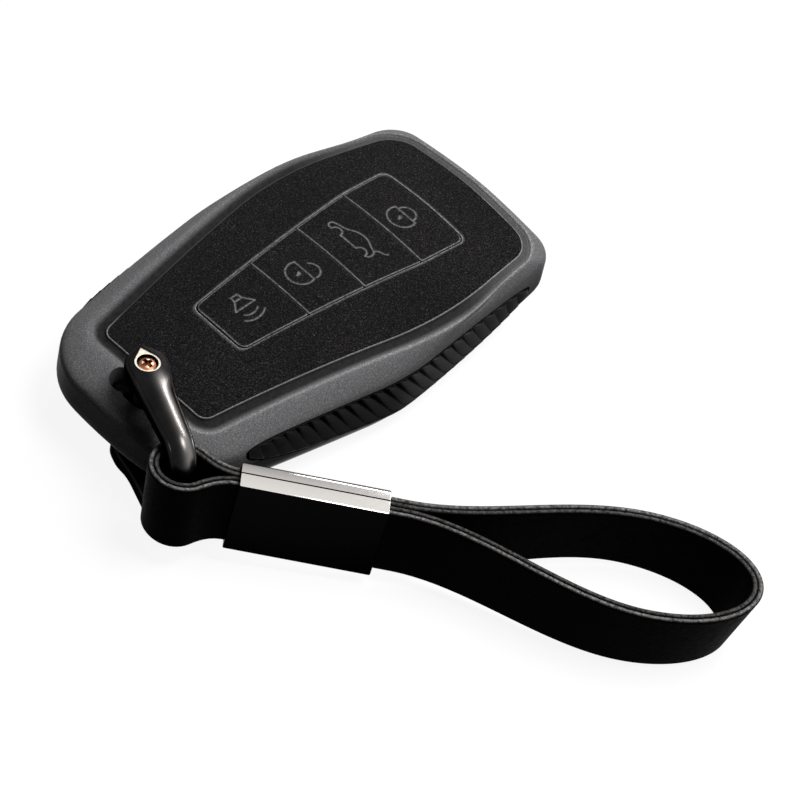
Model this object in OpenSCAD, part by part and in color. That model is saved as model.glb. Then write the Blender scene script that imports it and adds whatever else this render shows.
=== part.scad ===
// Key fob cover: a two-part metal shell with suede panels, four push keys,
// ribbed side grips, a screw-pin shackle and a clamped leather wrist strap.
// The origin is the middle of the rear face that it rests on, with the front face up,
// the wide end towards +Y and the shackle at the narrow end.

/* [Shell] */
// Length of the shell between its two ends
shell_len = 91.8; // [88:0.2:102]
// Thickness of the shell at the crown of both faces
shell_thick = 19.8; // [19:0.2:24]
// Half width of the shell where the sides meet the narrow end
narrow_half = 19.5; // [18:0.1:21]
// Half width of the shell at its waist, the widest place
waist_half = 25.9; // [24.5:0.1:28]
// Half width of the shell where the sides meet the wide end
wide_half = 20.6; // [20:0.1:22.5]
// Place of the waist along the shell
waist_y = 2; // [-2:0.5:8]
// Bow of both end walls
end_bow = 1.2; // [0.6:0.1:2]
// Corner radius at the narrow end
narrow_r = 14.5; // [9:0.5:15]
// Corner radius at the wide end
wide_r = 5; // [4:0.5:9]
// Radius that rounds the waist
waist_r = 55; // [30:5:90]
// Radius of the front face along the shell
crown_len_r = 250; // [200:10:500]
// Radius of the front face across the shell
crown_wide_r = 100; // [90:5:200]
// Radius of the rear face, along and across
rear_r = 150; // [130:5:300]
// Depth of the flat that is cut on the rear crown to rest on
rest_cut = 0.7; // [0.3:0.1:0.8]
// Wall of the shell at its sides
wall = 2.2; // [1.6:0.1:2.6]
// Thickness of the metal web under each panel
web = 1.2; // [0.8:0.1:1.4]
// Height of the parting plane between front and rear shell
seam_z = 8; // [7.6:0.1:8.6]
// Tilt of the parting plane towards the wide end
seam_tilt = 2.9; // [1:0.1:3.5]

/* [Rim] */
// Rim between the front panel and the narrow end
rim_narrow_end = 9.8; // [9:0.1:10.6]
// Rim between the front panel and the wide end
rim_wide_end = 3.9; // [3.6:0.1:5.4]
// Rim beside the panel's narrow corners
rim_narrow_side = 7.3; // [6:0.1:8]
// Rim beside the panel's waist
rim_waist_side = 4.3; // [4:0.1:6]
// Rim beside the panel's wide corners
rim_wide_side = 3.2; // [3:0.1:4.6]
// Band from the panel's edge to the crest of the rim
crest_band = 2.2; // [1.8:0.1:2.6]
// Height of the crest above the crown of the face
crest_rise = 0.3; // [0.2:0.1:0.8]

/* [Panels and keys] */
// Thickness of the front suede panel
front_panel_t = 0.9; // [0.7:0.1:1.1]
// Thickness of the rear suede panel
rear_panel_t = 1.4; // [1.2:0.1:1.8]
// Length of the alarm key, the one nearest the shackle
alarm_len = 14.8; // [12:0.1:15]
// Length of the unlock key
unlock_len = 12.8; // [11:0.1:13.5]
// Length of the trunk key
trunk_len = 13.4; // [11:0.1:14]
// Length of the lock key
lock_len = 11.3; // [10:0.1:12]
// Half width of the key block at its narrow end
keys_narrow_half = 6.3; // [5.5:0.1:7]
// Half width of the key block between the trunk and lock keys
keys_waist_half = 10.3; // [9:0.1:11]
// Half width of the key block at its wide end
keys_wide_half = 10.5; // [9:0.1:11]
// Groove round each key
key_gap = 0.35; // [0.3:0.05:0.5]
// Thickness of a key's cap
cap_t = 1.4; // [1.2:0.1:1.6]
// Radius of the plunger under a key
plunger_r = 2.4; // [1.8:0.1:3]

/* [Side grips] */
// Number of slanted ribs on one grip
rib_count = 24; // [12:1:26]
// Height of a rib above the grip
rib_h = 0.9; // [0.4:0.1:1.1]
// Slant of the ribs from upright
rib_slant = 42; // [0:1:50]

/* [Shackle] */
// Thickness of the shackle's arms
arm_t = 3.8; // [3:0.1:4]
// Clear gap between the two arms
arm_gap = 17; // [16.4:0.1:18]
// Width of an arm
arm_w = 6; // [5:0.1:6.6]
// Width of the ear round the screw
ear_w = 7.6; // [7:0.1:8.4]
// Distance from the screw to the middle of the bow
bow_reach = 20; // [19.5:0.5:26]
// Radius of the screw's shank
screw_r = 1.5; // [1.2:0.1:1.7]
// Direction in which the shackle lies at rest
shackle_angle = -24; // [-40:1:-22]

/* [Strap] */
// Width of the leather strap
strap_w = 15; // [13:0.1:15.2]
// Thickness of one leather ply, of two
ply_t = 1; // [0.7:0.1:1.1]
// Reach of the wrist loop from the bow of the shackle
strap_reach = 100.5; // [85:0.5:130]
// Half width of the wrist loop at its widest, to the middle of the leather
loop_half = 11; // [8:0.1:16]
// Length of the metal clamp
clamp_len = 26; // [20:0.5:30]
// Wall of the metal clamp
clamp_wall = 0.9; // [0.5:0.1:1.1]
// Direction in which the strap lies at rest
strap_angle = 41; // [38:1:45]

/* [Hidden] */
// Radii of the panel outlines at their corners
panel_narrow_r = 2.2;
panel_wide_r = 5.6;
panel_waist_r = 76;
panel_waist_shift = 12.5;
end_round_r = 90;
// Rounding of the rim: bands and heights as shares of what they cross
rear_crest_band = 3;
rear_rim_side = 4.6;
rear_rim_narrow_end = 16;
rear_rim_wide_end = 9;
crown_shift = 4;
upper_roll_share = 0.33;
lower_roll_share = 0.34;
valley_share = 0.42;
valley_drop = 0.25;
lip = 0.12;
// Clearances and the one overrun for cuts
fit = 0.1;
run_gap = 0.3;
seam_gap = 0.15;
over = 1;
// Key cavity inside the shells
cavity_end_wall = 12.1;
lug_len = 10.6;
// Keyring slot in the narrow end, with a sunk lug in its left half
slot_inset = 4.9;
slot_half = 5.2;
slot_r = 2.3;
slot_right = 0.3;
lug_r = 1.5;
lug_reach = 2.1;
lug_sink = 1.6;
recess_sink = 4.6;
pin_x = 1.7;
pin_inset = 5.5;
// Keys
keys_inset = 24.9;
keys_bow = 0.2;
keys_corner_r = 1.6;
key_corner_r = 0.4;
web_margin = 0.6;
plunger_drop = 5.2;
plunger_seat = 0.35;
plate_t = 1;
plate_drop = 2.2;
plate_margin = 3.2;
plate_corner_r = 2;
membrane_t = 0.6;
membrane_margin = 2;
// Liners
liner_t = 1.2;
liner_low_z = 8.2;
liner_high_z = 12.2;
rear_liner_t = 0.8;
rear_liner_gap = 0.25;
rear_liner_inset = 4;
// Tabs of the rear shell that snap inside the front shell
tab_w = 8;
tab_t = 1;
tab_rise = 1.6;
tab_root = 1;
// Side grips: the lens in the shell's side that they fill
grip_narrow_inset = 12.9;
grip_wide_inset = 6.9;
grip_axis_z = 11;
grip_axis_slope = 0.06;
grip_up = 2.2;
grip_down = 6.5;
grip_inset = 0.35;
grip_cut_x = 17.6;
rib_shares = [[0, 0], [0.28, 1], [0.78, 1], [0.94, 0]];
row_shares = [[0, 0], [0.14, 1], [0.86, 1], [1, 0]];
waist_cut = 0.35;
// Shackle and screw
bow_in_r = 2;
outer_bevel = 1.4;
inner_bevel = 0.5;
ear_tip = 3.9;
ear_tip_w = 2.4;
ear_shoulder = 2.8;
bow_w = 4.8;
shank_fit = 0.05;
head_r = 2.15;
head_t = 1.5;
head_sink = 0.25;
head_fit = 0.15;
cross_w = 0.7;
cross_len = 2.6;
cross_depth = 0.8;
screw_tail = 0.5;
// Strap and clamp
band_low_z = 5.1;
loop_slack = 0.95;
clamp_start = 9.6;
leg_run = 3;
loop_share = 0.67;
loop_drift = 1.6;
ply_gap = 0.05;
butt_gap = 0.6;
far_low_z = 0.1;
clamp_fit = 0.1;
clamp_screw_r = 0.8;
clamp_head_r = 1.5;
clamp_head_t = 0.5;
clamp_tip = 0.4;
clamp_screw_shares = [0.22, 0.78];
arc_steps = 5;
edge_steps = 4;
round_fn = 48;

half_len = shell_len / 2;
cavity_narrow_y = half_len - cavity_end_wall;
lug_gap_y = half_len - lug_len;
slot_y = half_len - slot_inset;
pin_y = half_len - pin_inset;
keys_y = keys_inset - half_len;
grip_narrow_y = grip_narrow_inset - half_len;
grip_wide_y = half_len - grip_wide_inset;
seam_top = seam_z / cos(seam_tilt);
key_lens = [alarm_len, unlock_len, trunk_len, lock_len];
strap_t = 2 * (ply_t + ply_gap);
small_loop_r = norm([bow_w / 2, arm_t / 2 - inner_bevel]) + loop_slack;
shackle_h = arm_gap + 2 * arm_t;
clamp_depth = 2 * strap_t + 2 * clamp_fit + 2 * clamp_wall;
bow_x = pin_x + bow_reach * cos(shackle_angle);
bow_y = bow_reach * sin(shackle_angle) - pin_y;
strap_tilt = atan((band_low_z - far_low_z) / strap_reach);

// Vectors and blends
function unit(v) = v / norm(v);
function blend(a, b, share) = a + (b - a) * share;
function total(list, count) = count == 0 ? 0 : list[count - 1] + total(list, count - 1);

// Arc that rounds corner b, between its neighbours a and c; a corner is [x, y, radius]
function corner_arc(a, b, c, steps) =
    let (
        at = [b.x, b.y],
        back = unit([a.x, a.y] - at),
        on = unit([c.x, c.y] - at),
        half = acos(back * on) / 2,
        centre = at + unit(back + on) * b.z / sin(half),
        first = at + back * b.z / tan(half) - centre,
        start = atan2(first.y, first.x),
        turn = 180 - 2 * half
    )
    [for (k = [0 : steps]) centre + b.z * [cos(start + turn * k / steps), sin(start + turn * k / steps)]];

// Closed outline through rounded corners, its straight runs cut into equal steps
function rounded(corners, arc_n, edge_n) =
    let (
        n = len(corners),
        arcs = [for (i = [0 : n - 1]) corner_arc(corners[(i + n - 1) % n], corners[i], corners[(i + 1) % n], arc_n)]
    )
    [for (i = [0 : n - 1]) each concat(
        arcs[i],
        [for (k = [1 : 1 : edge_n - 1]) blend(arcs[i][arc_n], arcs[(i + 1) % n][0], k / edge_n)]
    )];

// The shell's kind of outline: bowed ends, a waist and four corners
function fob_corners(low_y, low_half, mid_y, mid_half, high_y, high_half, bow, low_r, mid_r, high_r, end_r) = [
    [0, low_y - bow, end_r],
    [low_half, low_y, low_r],
    [mid_half, mid_y, mid_r],
    [high_half, high_y, high_r],
    [0, high_y + bow, end_r],
    [-high_half, high_y, high_r],
    [-mid_half, mid_y, mid_r],
    [-low_half, low_y, low_r]
];

function shell_outline(grow) = rounded(fob_corners(
    -half_len - grow, narrow_half + grow, waist_y, waist_half + grow, half_len + grow, wide_half + grow,
    end_bow, narrow_r + grow, waist_r, wide_r + grow, end_round_r), arc_steps, edge_steps);

function panel_outline(grow) = rounded(fob_corners(
    rim_narrow_end - half_len - grow, narrow_half - rim_narrow_side + grow,
    waist_y + panel_waist_shift, waist_half - rim_waist_side + grow,
    half_len - rim_wide_end + grow, wide_half - rim_wide_side + grow,
    end_bow / 2, panel_narrow_r + grow, panel_waist_r, panel_wide_r + grow, end_round_r), arc_steps, edge_steps);

function rear_outline(grow) = rounded(fob_corners(
    rear_rim_narrow_end - half_len - grow, narrow_half - rear_rim_side + grow,
    waist_y, waist_half - rear_rim_side + grow,
    half_len - rear_rim_wide_end + grow, wide_half - rear_rim_side + grow,
    end_bow / 2, panel_wide_r + grow, waist_r, panel_wide_r + grow, end_round_r), arc_steps, edge_steps);

function cavity_outline(grow) = rounded(fob_corners(
    -cavity_narrow_y - grow, narrow_half - wall / 2 + grow, waist_y, waist_half - wall + grow,
    half_len - wall + grow, wide_half - wall + grow,
    end_bow / 2, panel_wide_r + grow, waist_r, panel_wide_r + grow, end_round_r), arc_steps, edge_steps);

// Surfaces of the two faces
function face_z(p) = shell_thick - p.x * p.x / (2 * crown_wide_r) - p.y * p.y / (2 * crown_len_r);
function rear_z(p) = (p.x * p.x + (p.y - crown_shift) * (p.y - crown_shift)) / (2 * rear_r) - rest_cut;
function raise(outline, z) = [for (p = outline) [p.x, p.y, z]];
function on_face(outline, off) = [for (p = outline) [p.x, p.y, face_z(p) + off]];
function on_rear(outline, off) = [for (p = outline) [p.x, p.y, rear_z(p) + off]];
function shrink(outline, share) = [for (p = outline) [p.x * share, blend(middle_y(outline), p.y, share)]];
function middle_y(outline) = (max([for (p = outline) p.y]) + min([for (p = outline) p.y])) / 2;

// Faces between stacked rings, as triangles
function skirt(count, level) = [for (i = [0 : count - 1]) each [
    [level * count + i, (level + 1) * count + i, (level + 1) * count + (i + 1) % count],
    [level * count + i, (level + 1) * count + (i + 1) % count, level * count + (i + 1) % count]
]];

// Closed solid through rings that go up from the bottom centre to the top centre
module stack(rings, bottom, top) {
    count = len(rings[0]);
    last = len(rings) - 1;
    points = concat([for (ring = rings) each ring], [bottom, top]);
    low = len(points) - 2;
    high = len(points) - 1;
    polyhedron(points, concat(
        [for (level = [0 : last - 1]) each skirt(count, level)],
        [for (i = [0 : count - 1]) [low, i, (i + 1) % count]],
        [for (i = [0 : count - 1]) [high, last * count + (i + 1) % count, last * count + i]]
    ));
}

// Closed ring-shaped solid through rings that come back to the first
module hoop(rings) {
    count = len(rings[0]);
    turns = len(rings);
    points = [for (ring = rings) each ring];
    polyhedron(points, [for (level = [0 : turns - 1]) for (i = [0 : count - 1])
        let (
            a = level * count + i,
            b = level * count + (i + 1) % count,
            c = ((level + 1) % turns) * count + i,
            d = ((level + 1) % turns) * count + (i + 1) % count
        )
        each [[a, c, d], [a, d, b]]]);
}

// Outer form of both shells together, with the pockets of both panels
module body() {
    outer = shell_outline(0);
    crest = panel_outline(crest_band);
    panel = panel_outline(0);
    rear_panel = rear_outline(0);
    rear_crest = rear_outline(rear_crest_band / 2);
    count = len(outer);
    crest_z = [for (p = crest) face_z(p) + crest_rise];
    low_z = [for (p = rear_crest) rear_z(p)];
    upper_z = [for (i = [0 : count - 1]) blend(crest_z[i], low_z[i], upper_roll_share)];
    lower_z = [for (i = [0 : count - 1]) blend(low_z[i], crest_z[i], lower_roll_share)];
    function roll(from, to, z_from, z_to, out_share, up_share) = [for (i = [0 : count - 1])
        let (p = blend(from[i], to[i], out_share)) [p.x, p.y, blend(z_from[i], z_to[i], up_share)]];
    rear_centre = [0, middle_y(rear_panel)];
    front_centre = [0, middle_y(panel)];
    stack(
        concat(
            [for (share = [1 / 3, 2 / 3, 1]) on_rear(shrink(rear_panel, share), rear_panel_t)],
            [on_rear(rear_panel, 0)],
            [for (a = [0, 25, 50, 72, 90]) roll(rear_crest, outer, low_z, lower_z, sin(a), 1 - cos(a))],
            [for (a = [0, 20, 40, 60, 78, 90]) roll(crest, outer, upper_z, crest_z, cos(a), sin(a))],
            [on_face([for (i = [0 : count - 1]) blend(panel[i], crest[i], valley_share)], -valley_drop)],
            [on_face(panel, lip)],
            [for (share = [1, 2 / 3, 1 / 3]) on_face(shrink(panel, share), -front_panel_t)]
        ),
        [0, rear_centre.y, rear_z(rear_centre) + rear_panel_t],
        [0, front_centre.y, face_z(front_centre) - front_panel_t]
    );
}

// Hollow for the key, between the webs under the two panels
module cavity() {
    outline = cavity_outline(0);
    centre = [0, middle_y(outline)];
    stack(
        concat(
            [for (share = [1 / 3, 2 / 3, 1]) on_rear(shrink(outline, share), rear_panel_t + web)],
            [for (share = [1, 2 / 3, 1 / 3]) on_face(shrink(outline, share), -front_panel_t - web)]
        ),
        [0, centre.y, rear_z(centre) + rear_panel_t + web],
        [0, centre.y, face_z(centre) - front_panel_t - web]
    );
}

// Space below the parting plane, from the lug to beyond the wide end
module below_seam(drop, start_y) {
    intersection() {
        rotate([-seam_tilt, 0, 0]) translate([-shell_len, -shell_len, seam_z - drop - shell_len])
            cube([2 * shell_len, 2 * shell_len, shell_len]);
        translate([-shell_len, start_y, -shell_len]) cube([2 * shell_len, 2 * shell_len, 2 * shell_len]);
    }
}

// Height of the parting plane at a place along the shell
function seam_at(y) = seam_top - y * tan(seam_tilt);

// Snap tabs at both ends, each a plate just inside the end wall of the front shell
module snap_tabs(grow) {
    low_y = run_gap - cavity_narrow_y;
    high_y = half_len - wall - run_gap - tab_t;
    for (y = [low_y, high_y]) {
        foot_z = min(seam_at(y), rear_z([0, y]) + rear_panel_t + web) - tab_root;
        translate([-tab_w / 2 - grow, y - grow, foot_z])
            cube([tab_w + 2 * grow, tab_t + 2 * grow, seam_at(y) + tab_rise + grow - foot_z]);
    }
}

// Room under the lug for the lower ear of the shackle as it swings
module ear_relief() {
    translate([pin_x, -pin_y, -over])
        cylinder(r = norm([ear_tip, ear_w / 2]) + 2 * run_gap, h = arm_t + run_gap + over, $fn = round_fn);
}

// Side grips: lens in the Y-Z plane
function grip_axis(y) = grip_axis_z - grip_axis_slope * y;
function grip_along(y) = (y - grip_narrow_y) / (grip_wide_y - grip_narrow_y);
function swell(y, power) = sqrt(max(0, 1 - pow(abs(2 * grip_along(y) - 1), power)));
function grip_top(y) = grip_axis(y) + grip_up * swell(y, 4);
function grip_low(y) = grip_axis(y) - grip_down * swell(y, 2);
function side_x(y) =
    let (
        low_slope = (waist_half - narrow_half) / (waist_y + half_len),
        high_slope = (waist_half - wide_half) / (half_len - waist_y),
        mean = (low_slope + high_slope) / 2,
        from_waist = y - waist_y
    )
    waist_half - (high_slope - low_slope) / 2 * from_waist
        - mean * sqrt(from_waist * from_waist + pow(waist_cut / mean, 2));

module grip_window(side) {
    steps = 28;
    ys = [for (k = [0 : steps]) blend(grip_narrow_y, grip_wide_y, (1 - cos(180 * k / steps)) / 2)];
    edge = concat(
        [for (k = [0 : steps]) [ys[k] + run_gap * (2 * k / steps - 1), grip_low(ys[k]) - run_gap]],
        [for (k = [steps : -1 : 0]) [ys[k] + run_gap * (2 * k / steps - 1), grip_top(ys[k]) + run_gap]]
    );
    mirror([side < 0 ? 1 : 0, 0, 0])
        translate([grip_cut_x, 0, 0]) rotate([90, 0, 90]) linear_extrude(waist_half) polygon(edge);
}

// One grip: a ribbed skin over a smooth back, closed along the lens
module side_grip(side) {
    columns = [for (rib = [0 : rib_count - 1]) for (part = rib_shares) [(rib + part[0]) / rib_count, part[1]]];
    count = len(columns);
    slant = tan(rib_slant);
    function along(share) = blend(grip_narrow_y, grip_wide_y, 0.004 + 0.992 * share);
    function place(share, row) =
        let (
            y0 = along(share),
            z0 = blend(grip_low(y0), grip_top(y0), row),
            y = y0 - slant * (z0 - blend(grip_low(y0), grip_top(y0), 1 / 2)) * swell(y0, 2)
        )
        [y, blend(grip_low(y), grip_top(y), row)];
    front = [for (row = row_shares) for (column = columns)
        let (p = place(column[0], row[0]))
        [side * (side_x(p.x) - grip_inset + rib_h * row[1] * column[1]), p.x, p.y]];
    back = [for (row = [0, 1]) for (column = columns)
        let (p = place(column[0], row))
        [side * (side_x(p.x) - wall + fit), p.x, p.y]];
    rows = len(row_shares);
    base = rows * count;
    function quad(a, b, c, d) = side > 0 ? [[a, b, c], [a, c, d]] : [[a, c, b], [a, d, c]];
    faces = concat(
        [for (r = [0 : rows - 2]) for (i = [0 : count - 2])
            each quad(r * count + i, (r + 1) * count + i, (r + 1) * count + i + 1, r * count + i + 1)],
        [for (i = [0 : count - 2]) each quad(base + i, base + i + 1, base + count + i + 1, base + count + i)],
        [for (i = [0 : count - 2]) each quad(base + i, i, i + 1, base + i + 1)],
        [for (i = [0 : count - 2])
            each quad((rows - 1) * count + i, base + count + i, base + count + i + 1, (rows - 1) * count + i + 1)],
        side > 0
            ? concat(
                [for (r = [0 : rows - 2]) [base, (r + 1) * count, r * count]],
                [[base, base + count, (rows - 1) * count]],
                [for (r = [0 : rows - 2]) [base + count - 1, (r + 1) * count - 1, (r + 2) * count - 1]],
                [[base + count - 1, rows * count - 1, base + 2 * count - 1]])
            : concat(
                [for (r = [0 : rows - 2]) [base, r * count, (r + 1) * count]],
                [[base, (rows - 1) * count, base + count]],
                [for (r = [0 : rows - 2]) [base + count - 1, (r + 2) * count - 1, (r + 1) * count - 1]],
                [[base + count - 1, base + 2 * count - 1, rows * count - 1]])
    );
    polyhedron(concat(front, back), faces);
}

// Keys: the block tapers to its narrow end
function key_start(key) = keys_y + total(key_lens, key);
function key_middle(key) = key_start(key) + key_lens[key] / 2;
function keys_half(y) = y < key_start(3)
    ? blend(keys_narrow_half, keys_waist_half, (y - keys_y) / (key_start(3) - keys_y))
    : blend(keys_waist_half, keys_wide_half, (y - key_start(3)) / lock_len);
function block_corners(grow, radius) = fob_corners(
    keys_y - grow, keys_narrow_half + grow, key_start(3), keys_waist_half + grow,
    key_start(4) + grow, keys_wide_half + grow, keys_bow, radius, panel_waist_r, radius, end_round_r);

module keys_window(grow) {
    translate([0, 0, shell_thick / 2]) linear_extrude(shell_thick)
        polygon(rounded(block_corners(grow, keys_corner_r + grow), arc_steps, 1));
}

module key_cap(key) {
    low = key_start(key) + key_gap / 2;
    high = key_start(key + 1) - key_gap / 2;
    low_r = key == 0 ? keys_corner_r : key_corner_r;
    high_r = key == 3 ? keys_corner_r : key_corner_r;
    outline = rounded([
        [keys_half(low), low, low_r], [keys_half(high), high, high_r],
        [-keys_half(high), high, high_r], [-keys_half(low), low, low_r]], 3, 4);
    centre = [0, middle_y(outline)];
    stack(
        concat(
            [for (share = [1 / 2, 1]) on_face(shrink(outline, share), -cap_t)],
            [for (share = [1, 1 / 2]) on_face(shrink(outline, share), 0)]
        ),
        [0, centre.y, face_z(centre) - cap_t],
        [0, centre.y, face_z(centre)]
    );
}

module key_plunger(key) {
    at = [0, key_middle(key)];
    translate([0, at.y, face_z(at) - plunger_drop])
        cylinder(r = plunger_r, h = plunger_drop - cap_t - plunger_seat, $fn = round_fn);
}

// Plate inside the front shell that follows its crown, with a hole for each plunger
module crowned_plate(margin, high_off, thick, hole_r) {
    outline = rounded(block_corners(margin, plate_corner_r + margin), 2, 3);
    centre = [0, middle_y(outline)];
    difference() {
        stack(
            concat(
                [for (share = [1 / 2, 1]) on_face(shrink(outline, share), high_off - thick)],
                [for (share = [1, 1 / 2]) on_face(shrink(outline, share), high_off)]
            ),
            [0, centre.y, face_z(centre) + high_off - thick],
            [0, centre.y, face_z(centre) + high_off]
        );
        for (key = [0 : 3])
            translate([0, key_middle(key), shell_thick / 2]) cylinder(r = hole_r, h = shell_thick, $fn = round_fn);
    }
}

// Upright slot with round ends, from x0 to x1 at the slot's place
module slot_solid(x0, x1, radius, z0, z1) {
    translate([0, -slot_y, z0]) linear_extrude(z1 - z0) union() {
        translate([x0 + radius, 0]) circle(radius, $fn = round_fn);
        translate([x1 - radius, 0]) circle(radius, $fn = round_fn);
        translate([x0 + radius, -radius]) square([x1 - x0 - 2 * radius, 2 * radius]);
    }
}

slot_top_z = face_z([0, -slot_y]);

module front_shell() {
    color("#3a3b3e") {
        difference() {
            body();
            below_seam(0, -lug_gap_y);
            cavity();
            translate([0, 0, -over]) linear_extrude(seam_at(-half_len) + over) polygon(cavity_outline(fit));
            keys_window(web_margin);
            ear_relief();
            grip_window(1);
            grip_window(-1);
            slot_solid(slot_right - slot_r, slot_half, slot_r, -over, shell_thick + over);
            slot_solid(-slot_half, slot_right, slot_r, slot_top_z - recess_sink, shell_thick + over);
        }
        slot_solid(-slot_half + slot_r - lug_r, -slot_half + slot_r - lug_r + 2 * lug_reach, lug_r,
            slot_top_z - recess_sink - over, slot_top_z - lug_sink);
    }
}

module rear_shell() {
    color("#17181a") {
        difference() {
            intersection() {
                body();
                below_seam(seam_gap, run_gap - lug_gap_y);
            }
            cavity();
            grip_window(1);
            grip_window(-1);
        }
        snap_tabs(0);
    }
}

module front_suede_panel() {
    outer = panel_outline(-fit);
    inner = rounded(block_corners(key_gap, keys_corner_r + key_gap), arc_steps, edge_steps);
    function between(share, off) =
        on_face([for (i = [0 : len(outer) - 1]) blend(outer[i], inner[i], share)], off);
    color("#1b1b1c") hoop(concat(
        [for (share = [0, 1 / 2, 1]) between(share, 0)],
        [for (share = [1, 1 / 2, 0]) between(share, fit - front_panel_t)]
    ));
}

module rear_suede_panel() {
    outline = rear_outline(-fit);
    centre = [0, middle_y(outline)];
    color("#1b1b1c") intersection() {
        stack(
            concat(
                [for (share = [1 / 3, 2 / 3, 1]) on_rear(shrink(outline, share), 0)],
                [for (share = [1, 2 / 3, 1 / 3]) on_rear(shrink(outline, share), rear_panel_t - fit)]
            ),
            [0, centre.y, rear_z(centre)],
            [0, centre.y, rear_z(centre) + rear_panel_t - fit]
        );
        translate([-shell_len, -shell_len, 0]) cube([2 * shell_len, 2 * shell_len, shell_thick]);
    }
}

module front_backing_plate() {
    color("#26272a") crowned_plate(plate_margin, -plate_drop, plate_t, plunger_r + run_gap);
}

module button_membrane() {
    color("#55585c") crowned_plate(membrane_margin, -plate_drop - plate_t - fit, membrane_t, plunger_r + run_gap);
}

module front_liner() {
    color("#101112") difference() {
        translate([0, 0, liner_low_z]) linear_extrude(liner_high_z - liner_low_z) polygon(cavity_outline(-run_gap));
        translate([0, 0, liner_low_z - over]) linear_extrude(liner_high_z - liner_low_z + 2 * over)
            polygon(cavity_outline(-run_gap - liner_t));
        snap_tabs(run_gap);
    }
}

module rear_liner() {
    outline = cavity_outline(-rear_liner_inset);
    centre = [0, middle_y(outline)];
    low = rear_panel_t + web + rear_liner_gap;
    color("#202124") stack(
        concat(
            [for (share = [1 / 3, 2 / 3, 1]) on_rear(shrink(outline, share), low)],
            [for (share = [1, 2 / 3, 1 / 3]) on_rear(shrink(outline, share), low + rear_liner_t)]
        ),
        [0, centre.y, rear_z(centre) + low],
        [0, centre.y, rear_z(centre) + low + rear_liner_t]
    );
}

// Shackle, drawn along +X from its screw: each station is [along, height, turn, width]
bow_r = bow_in_r + arm_t / 2;
function shackle_stations() = let (
    top = shackle_h - arm_t / 2,
    low = arm_t / 2,
    straight = bow_reach - bow_r
) concat(
    [[-ear_tip, top, 0, ear_tip_w], [-ear_shoulder, top, 0, ear_w - outer_bevel], [0, top, 0, ear_w],
        [ear_shoulder, top, 0, arm_w + outer_bevel / 2], [ear_tip, top, 0, arm_w]],
    [for (a = [0 : 15 : 90]) [straight + bow_r * sin(a), top - bow_r * (1 - cos(a)), a, blend(arm_w, bow_w, a / 90)]],
    [for (a = [90 : 15 : 180]) [straight + bow_r * sin(a), low + bow_r * (1 + cos(a)), a, blend(bow_w, arm_w, a / 90 - 1)]],
    [[ear_tip, low, 180, arm_w], [ear_shoulder, low, 180, arm_w + outer_bevel / 2], [0, low, 180, ear_w],
        [-ear_shoulder, low, 180, ear_w - outer_bevel], [-ear_tip, low, 180, ear_tip_w]]
);
function bar_section(width) = let (
    h = width / 2,
    t = arm_t / 2,
    o = min(outer_bevel, width / 3),
    n = inner_bevel
) [[h - o, t], [h, t - o], [h, n - t], [h - n, -t], [n - h, -t], [-h, n - t], [-h, t - o], [o - h, t]];
function station_ring(s) = [for (p = bar_section(s[3]))
    [s[0] + p.y * sin(s[2]), p.x, s[1] + p.y * cos(s[2])]];

module shackle() {
    stations = shackle_stations();
    rings = [for (s = stations) station_ring(s)];
    last = len(stations) - 1;
    place_shackle() color("#4a4b50") difference() {
        stack_across(rings, [stations[0][0], 0, stations[0][1]], [stations[last][0], 0, stations[last][1]]);
        translate([0, 0, -over]) cylinder(r = screw_r + shank_fit, h = shackle_h + 2 * over, $fn = round_fn);
        translate([0, 0, shackle_h - head_t - head_sink])
            cylinder(r = head_r + head_fit, h = head_t + head_sink + over, $fn = round_fn);
    }
}

// As stack(), for rings that are wound the other way
module stack_across(rings, first, final) {
    stack([for (ring = rings) [for (i = [len(ring) - 1 : -1 : 0]) ring[i]]], first, final);
}

module place_shackle() {
    translate([pin_x, -pin_y, 0]) rotate([0, 0, shackle_angle]) children();
}

module shackle_screw() {
    head_top = shackle_h - head_sink;
    place_shackle() color("#b5825a") difference() {
        union() {
            translate([0, 0, screw_tail]) cylinder(r = screw_r, h = head_top - screw_tail - head_t / 2, $fn = round_fn);
            translate([0, 0, head_top - head_t + fit]) cylinder(r = head_r, h = head_t - fit, $fn = round_fn);
        }
        for (turn = [0, 90]) rotate([0, 0, turn]) translate([-cross_len / 2, -cross_w / 2, head_top - cross_depth])
            cube([cross_len, cross_w, cross_depth + over]);
    }
}

// Strap, drawn along +X from the bow of the shackle; the middle of the leather in plan
neck = small_loop_r + strap_t / 2;
leg = strap_t / 2;
clamp_end = clamp_start + clamp_len;
clamp_mid = clamp_start + clamp_len / 2;
loop_wide_x = clamp_end + leg_run + (strap_reach - clamp_end - leg_run) * loop_share;
function ease(t) = t * t * (3 - 2 * t);
function big_half(x) = blend(leg, loop_half, ease((x - clamp_end - leg_run) / (loop_wide_x - clamp_end - leg_run)));
neck_turn = 128;
function neck_half(t) = blend(neck * sin(neck_turn), leg, ease(t));
function small_loop() = [for (a = [neck_turn - 4 : -8 : -neck_turn]) [-neck * cos(a), neck * sin(a)]];
function neck_leg(side) = [for (t = [1 : -1 / 6 : 0.01])
    [blend(-neck * cos(neck_turn), clamp_start, t), side * neck_half(t)]];
function drift(x) = loop_drift * ease(min(1, (x - clamp_end) / (strap_reach - clamp_end)));
function big_leg(side) = [for (k = [0 : 14]) let (x = blend(clamp_end + leg_run, loop_wide_x, k / 14))
    [x, side * big_half(x) - drift(x)]];
function big_end() = [for (a = [10 : 10 : 170])
    let (x = loop_wide_x + (strap_reach - strap_t / 2 - loop_wide_x) * sin(a)) [x, -loop_half * cos(a) - drift(x)]];
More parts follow.
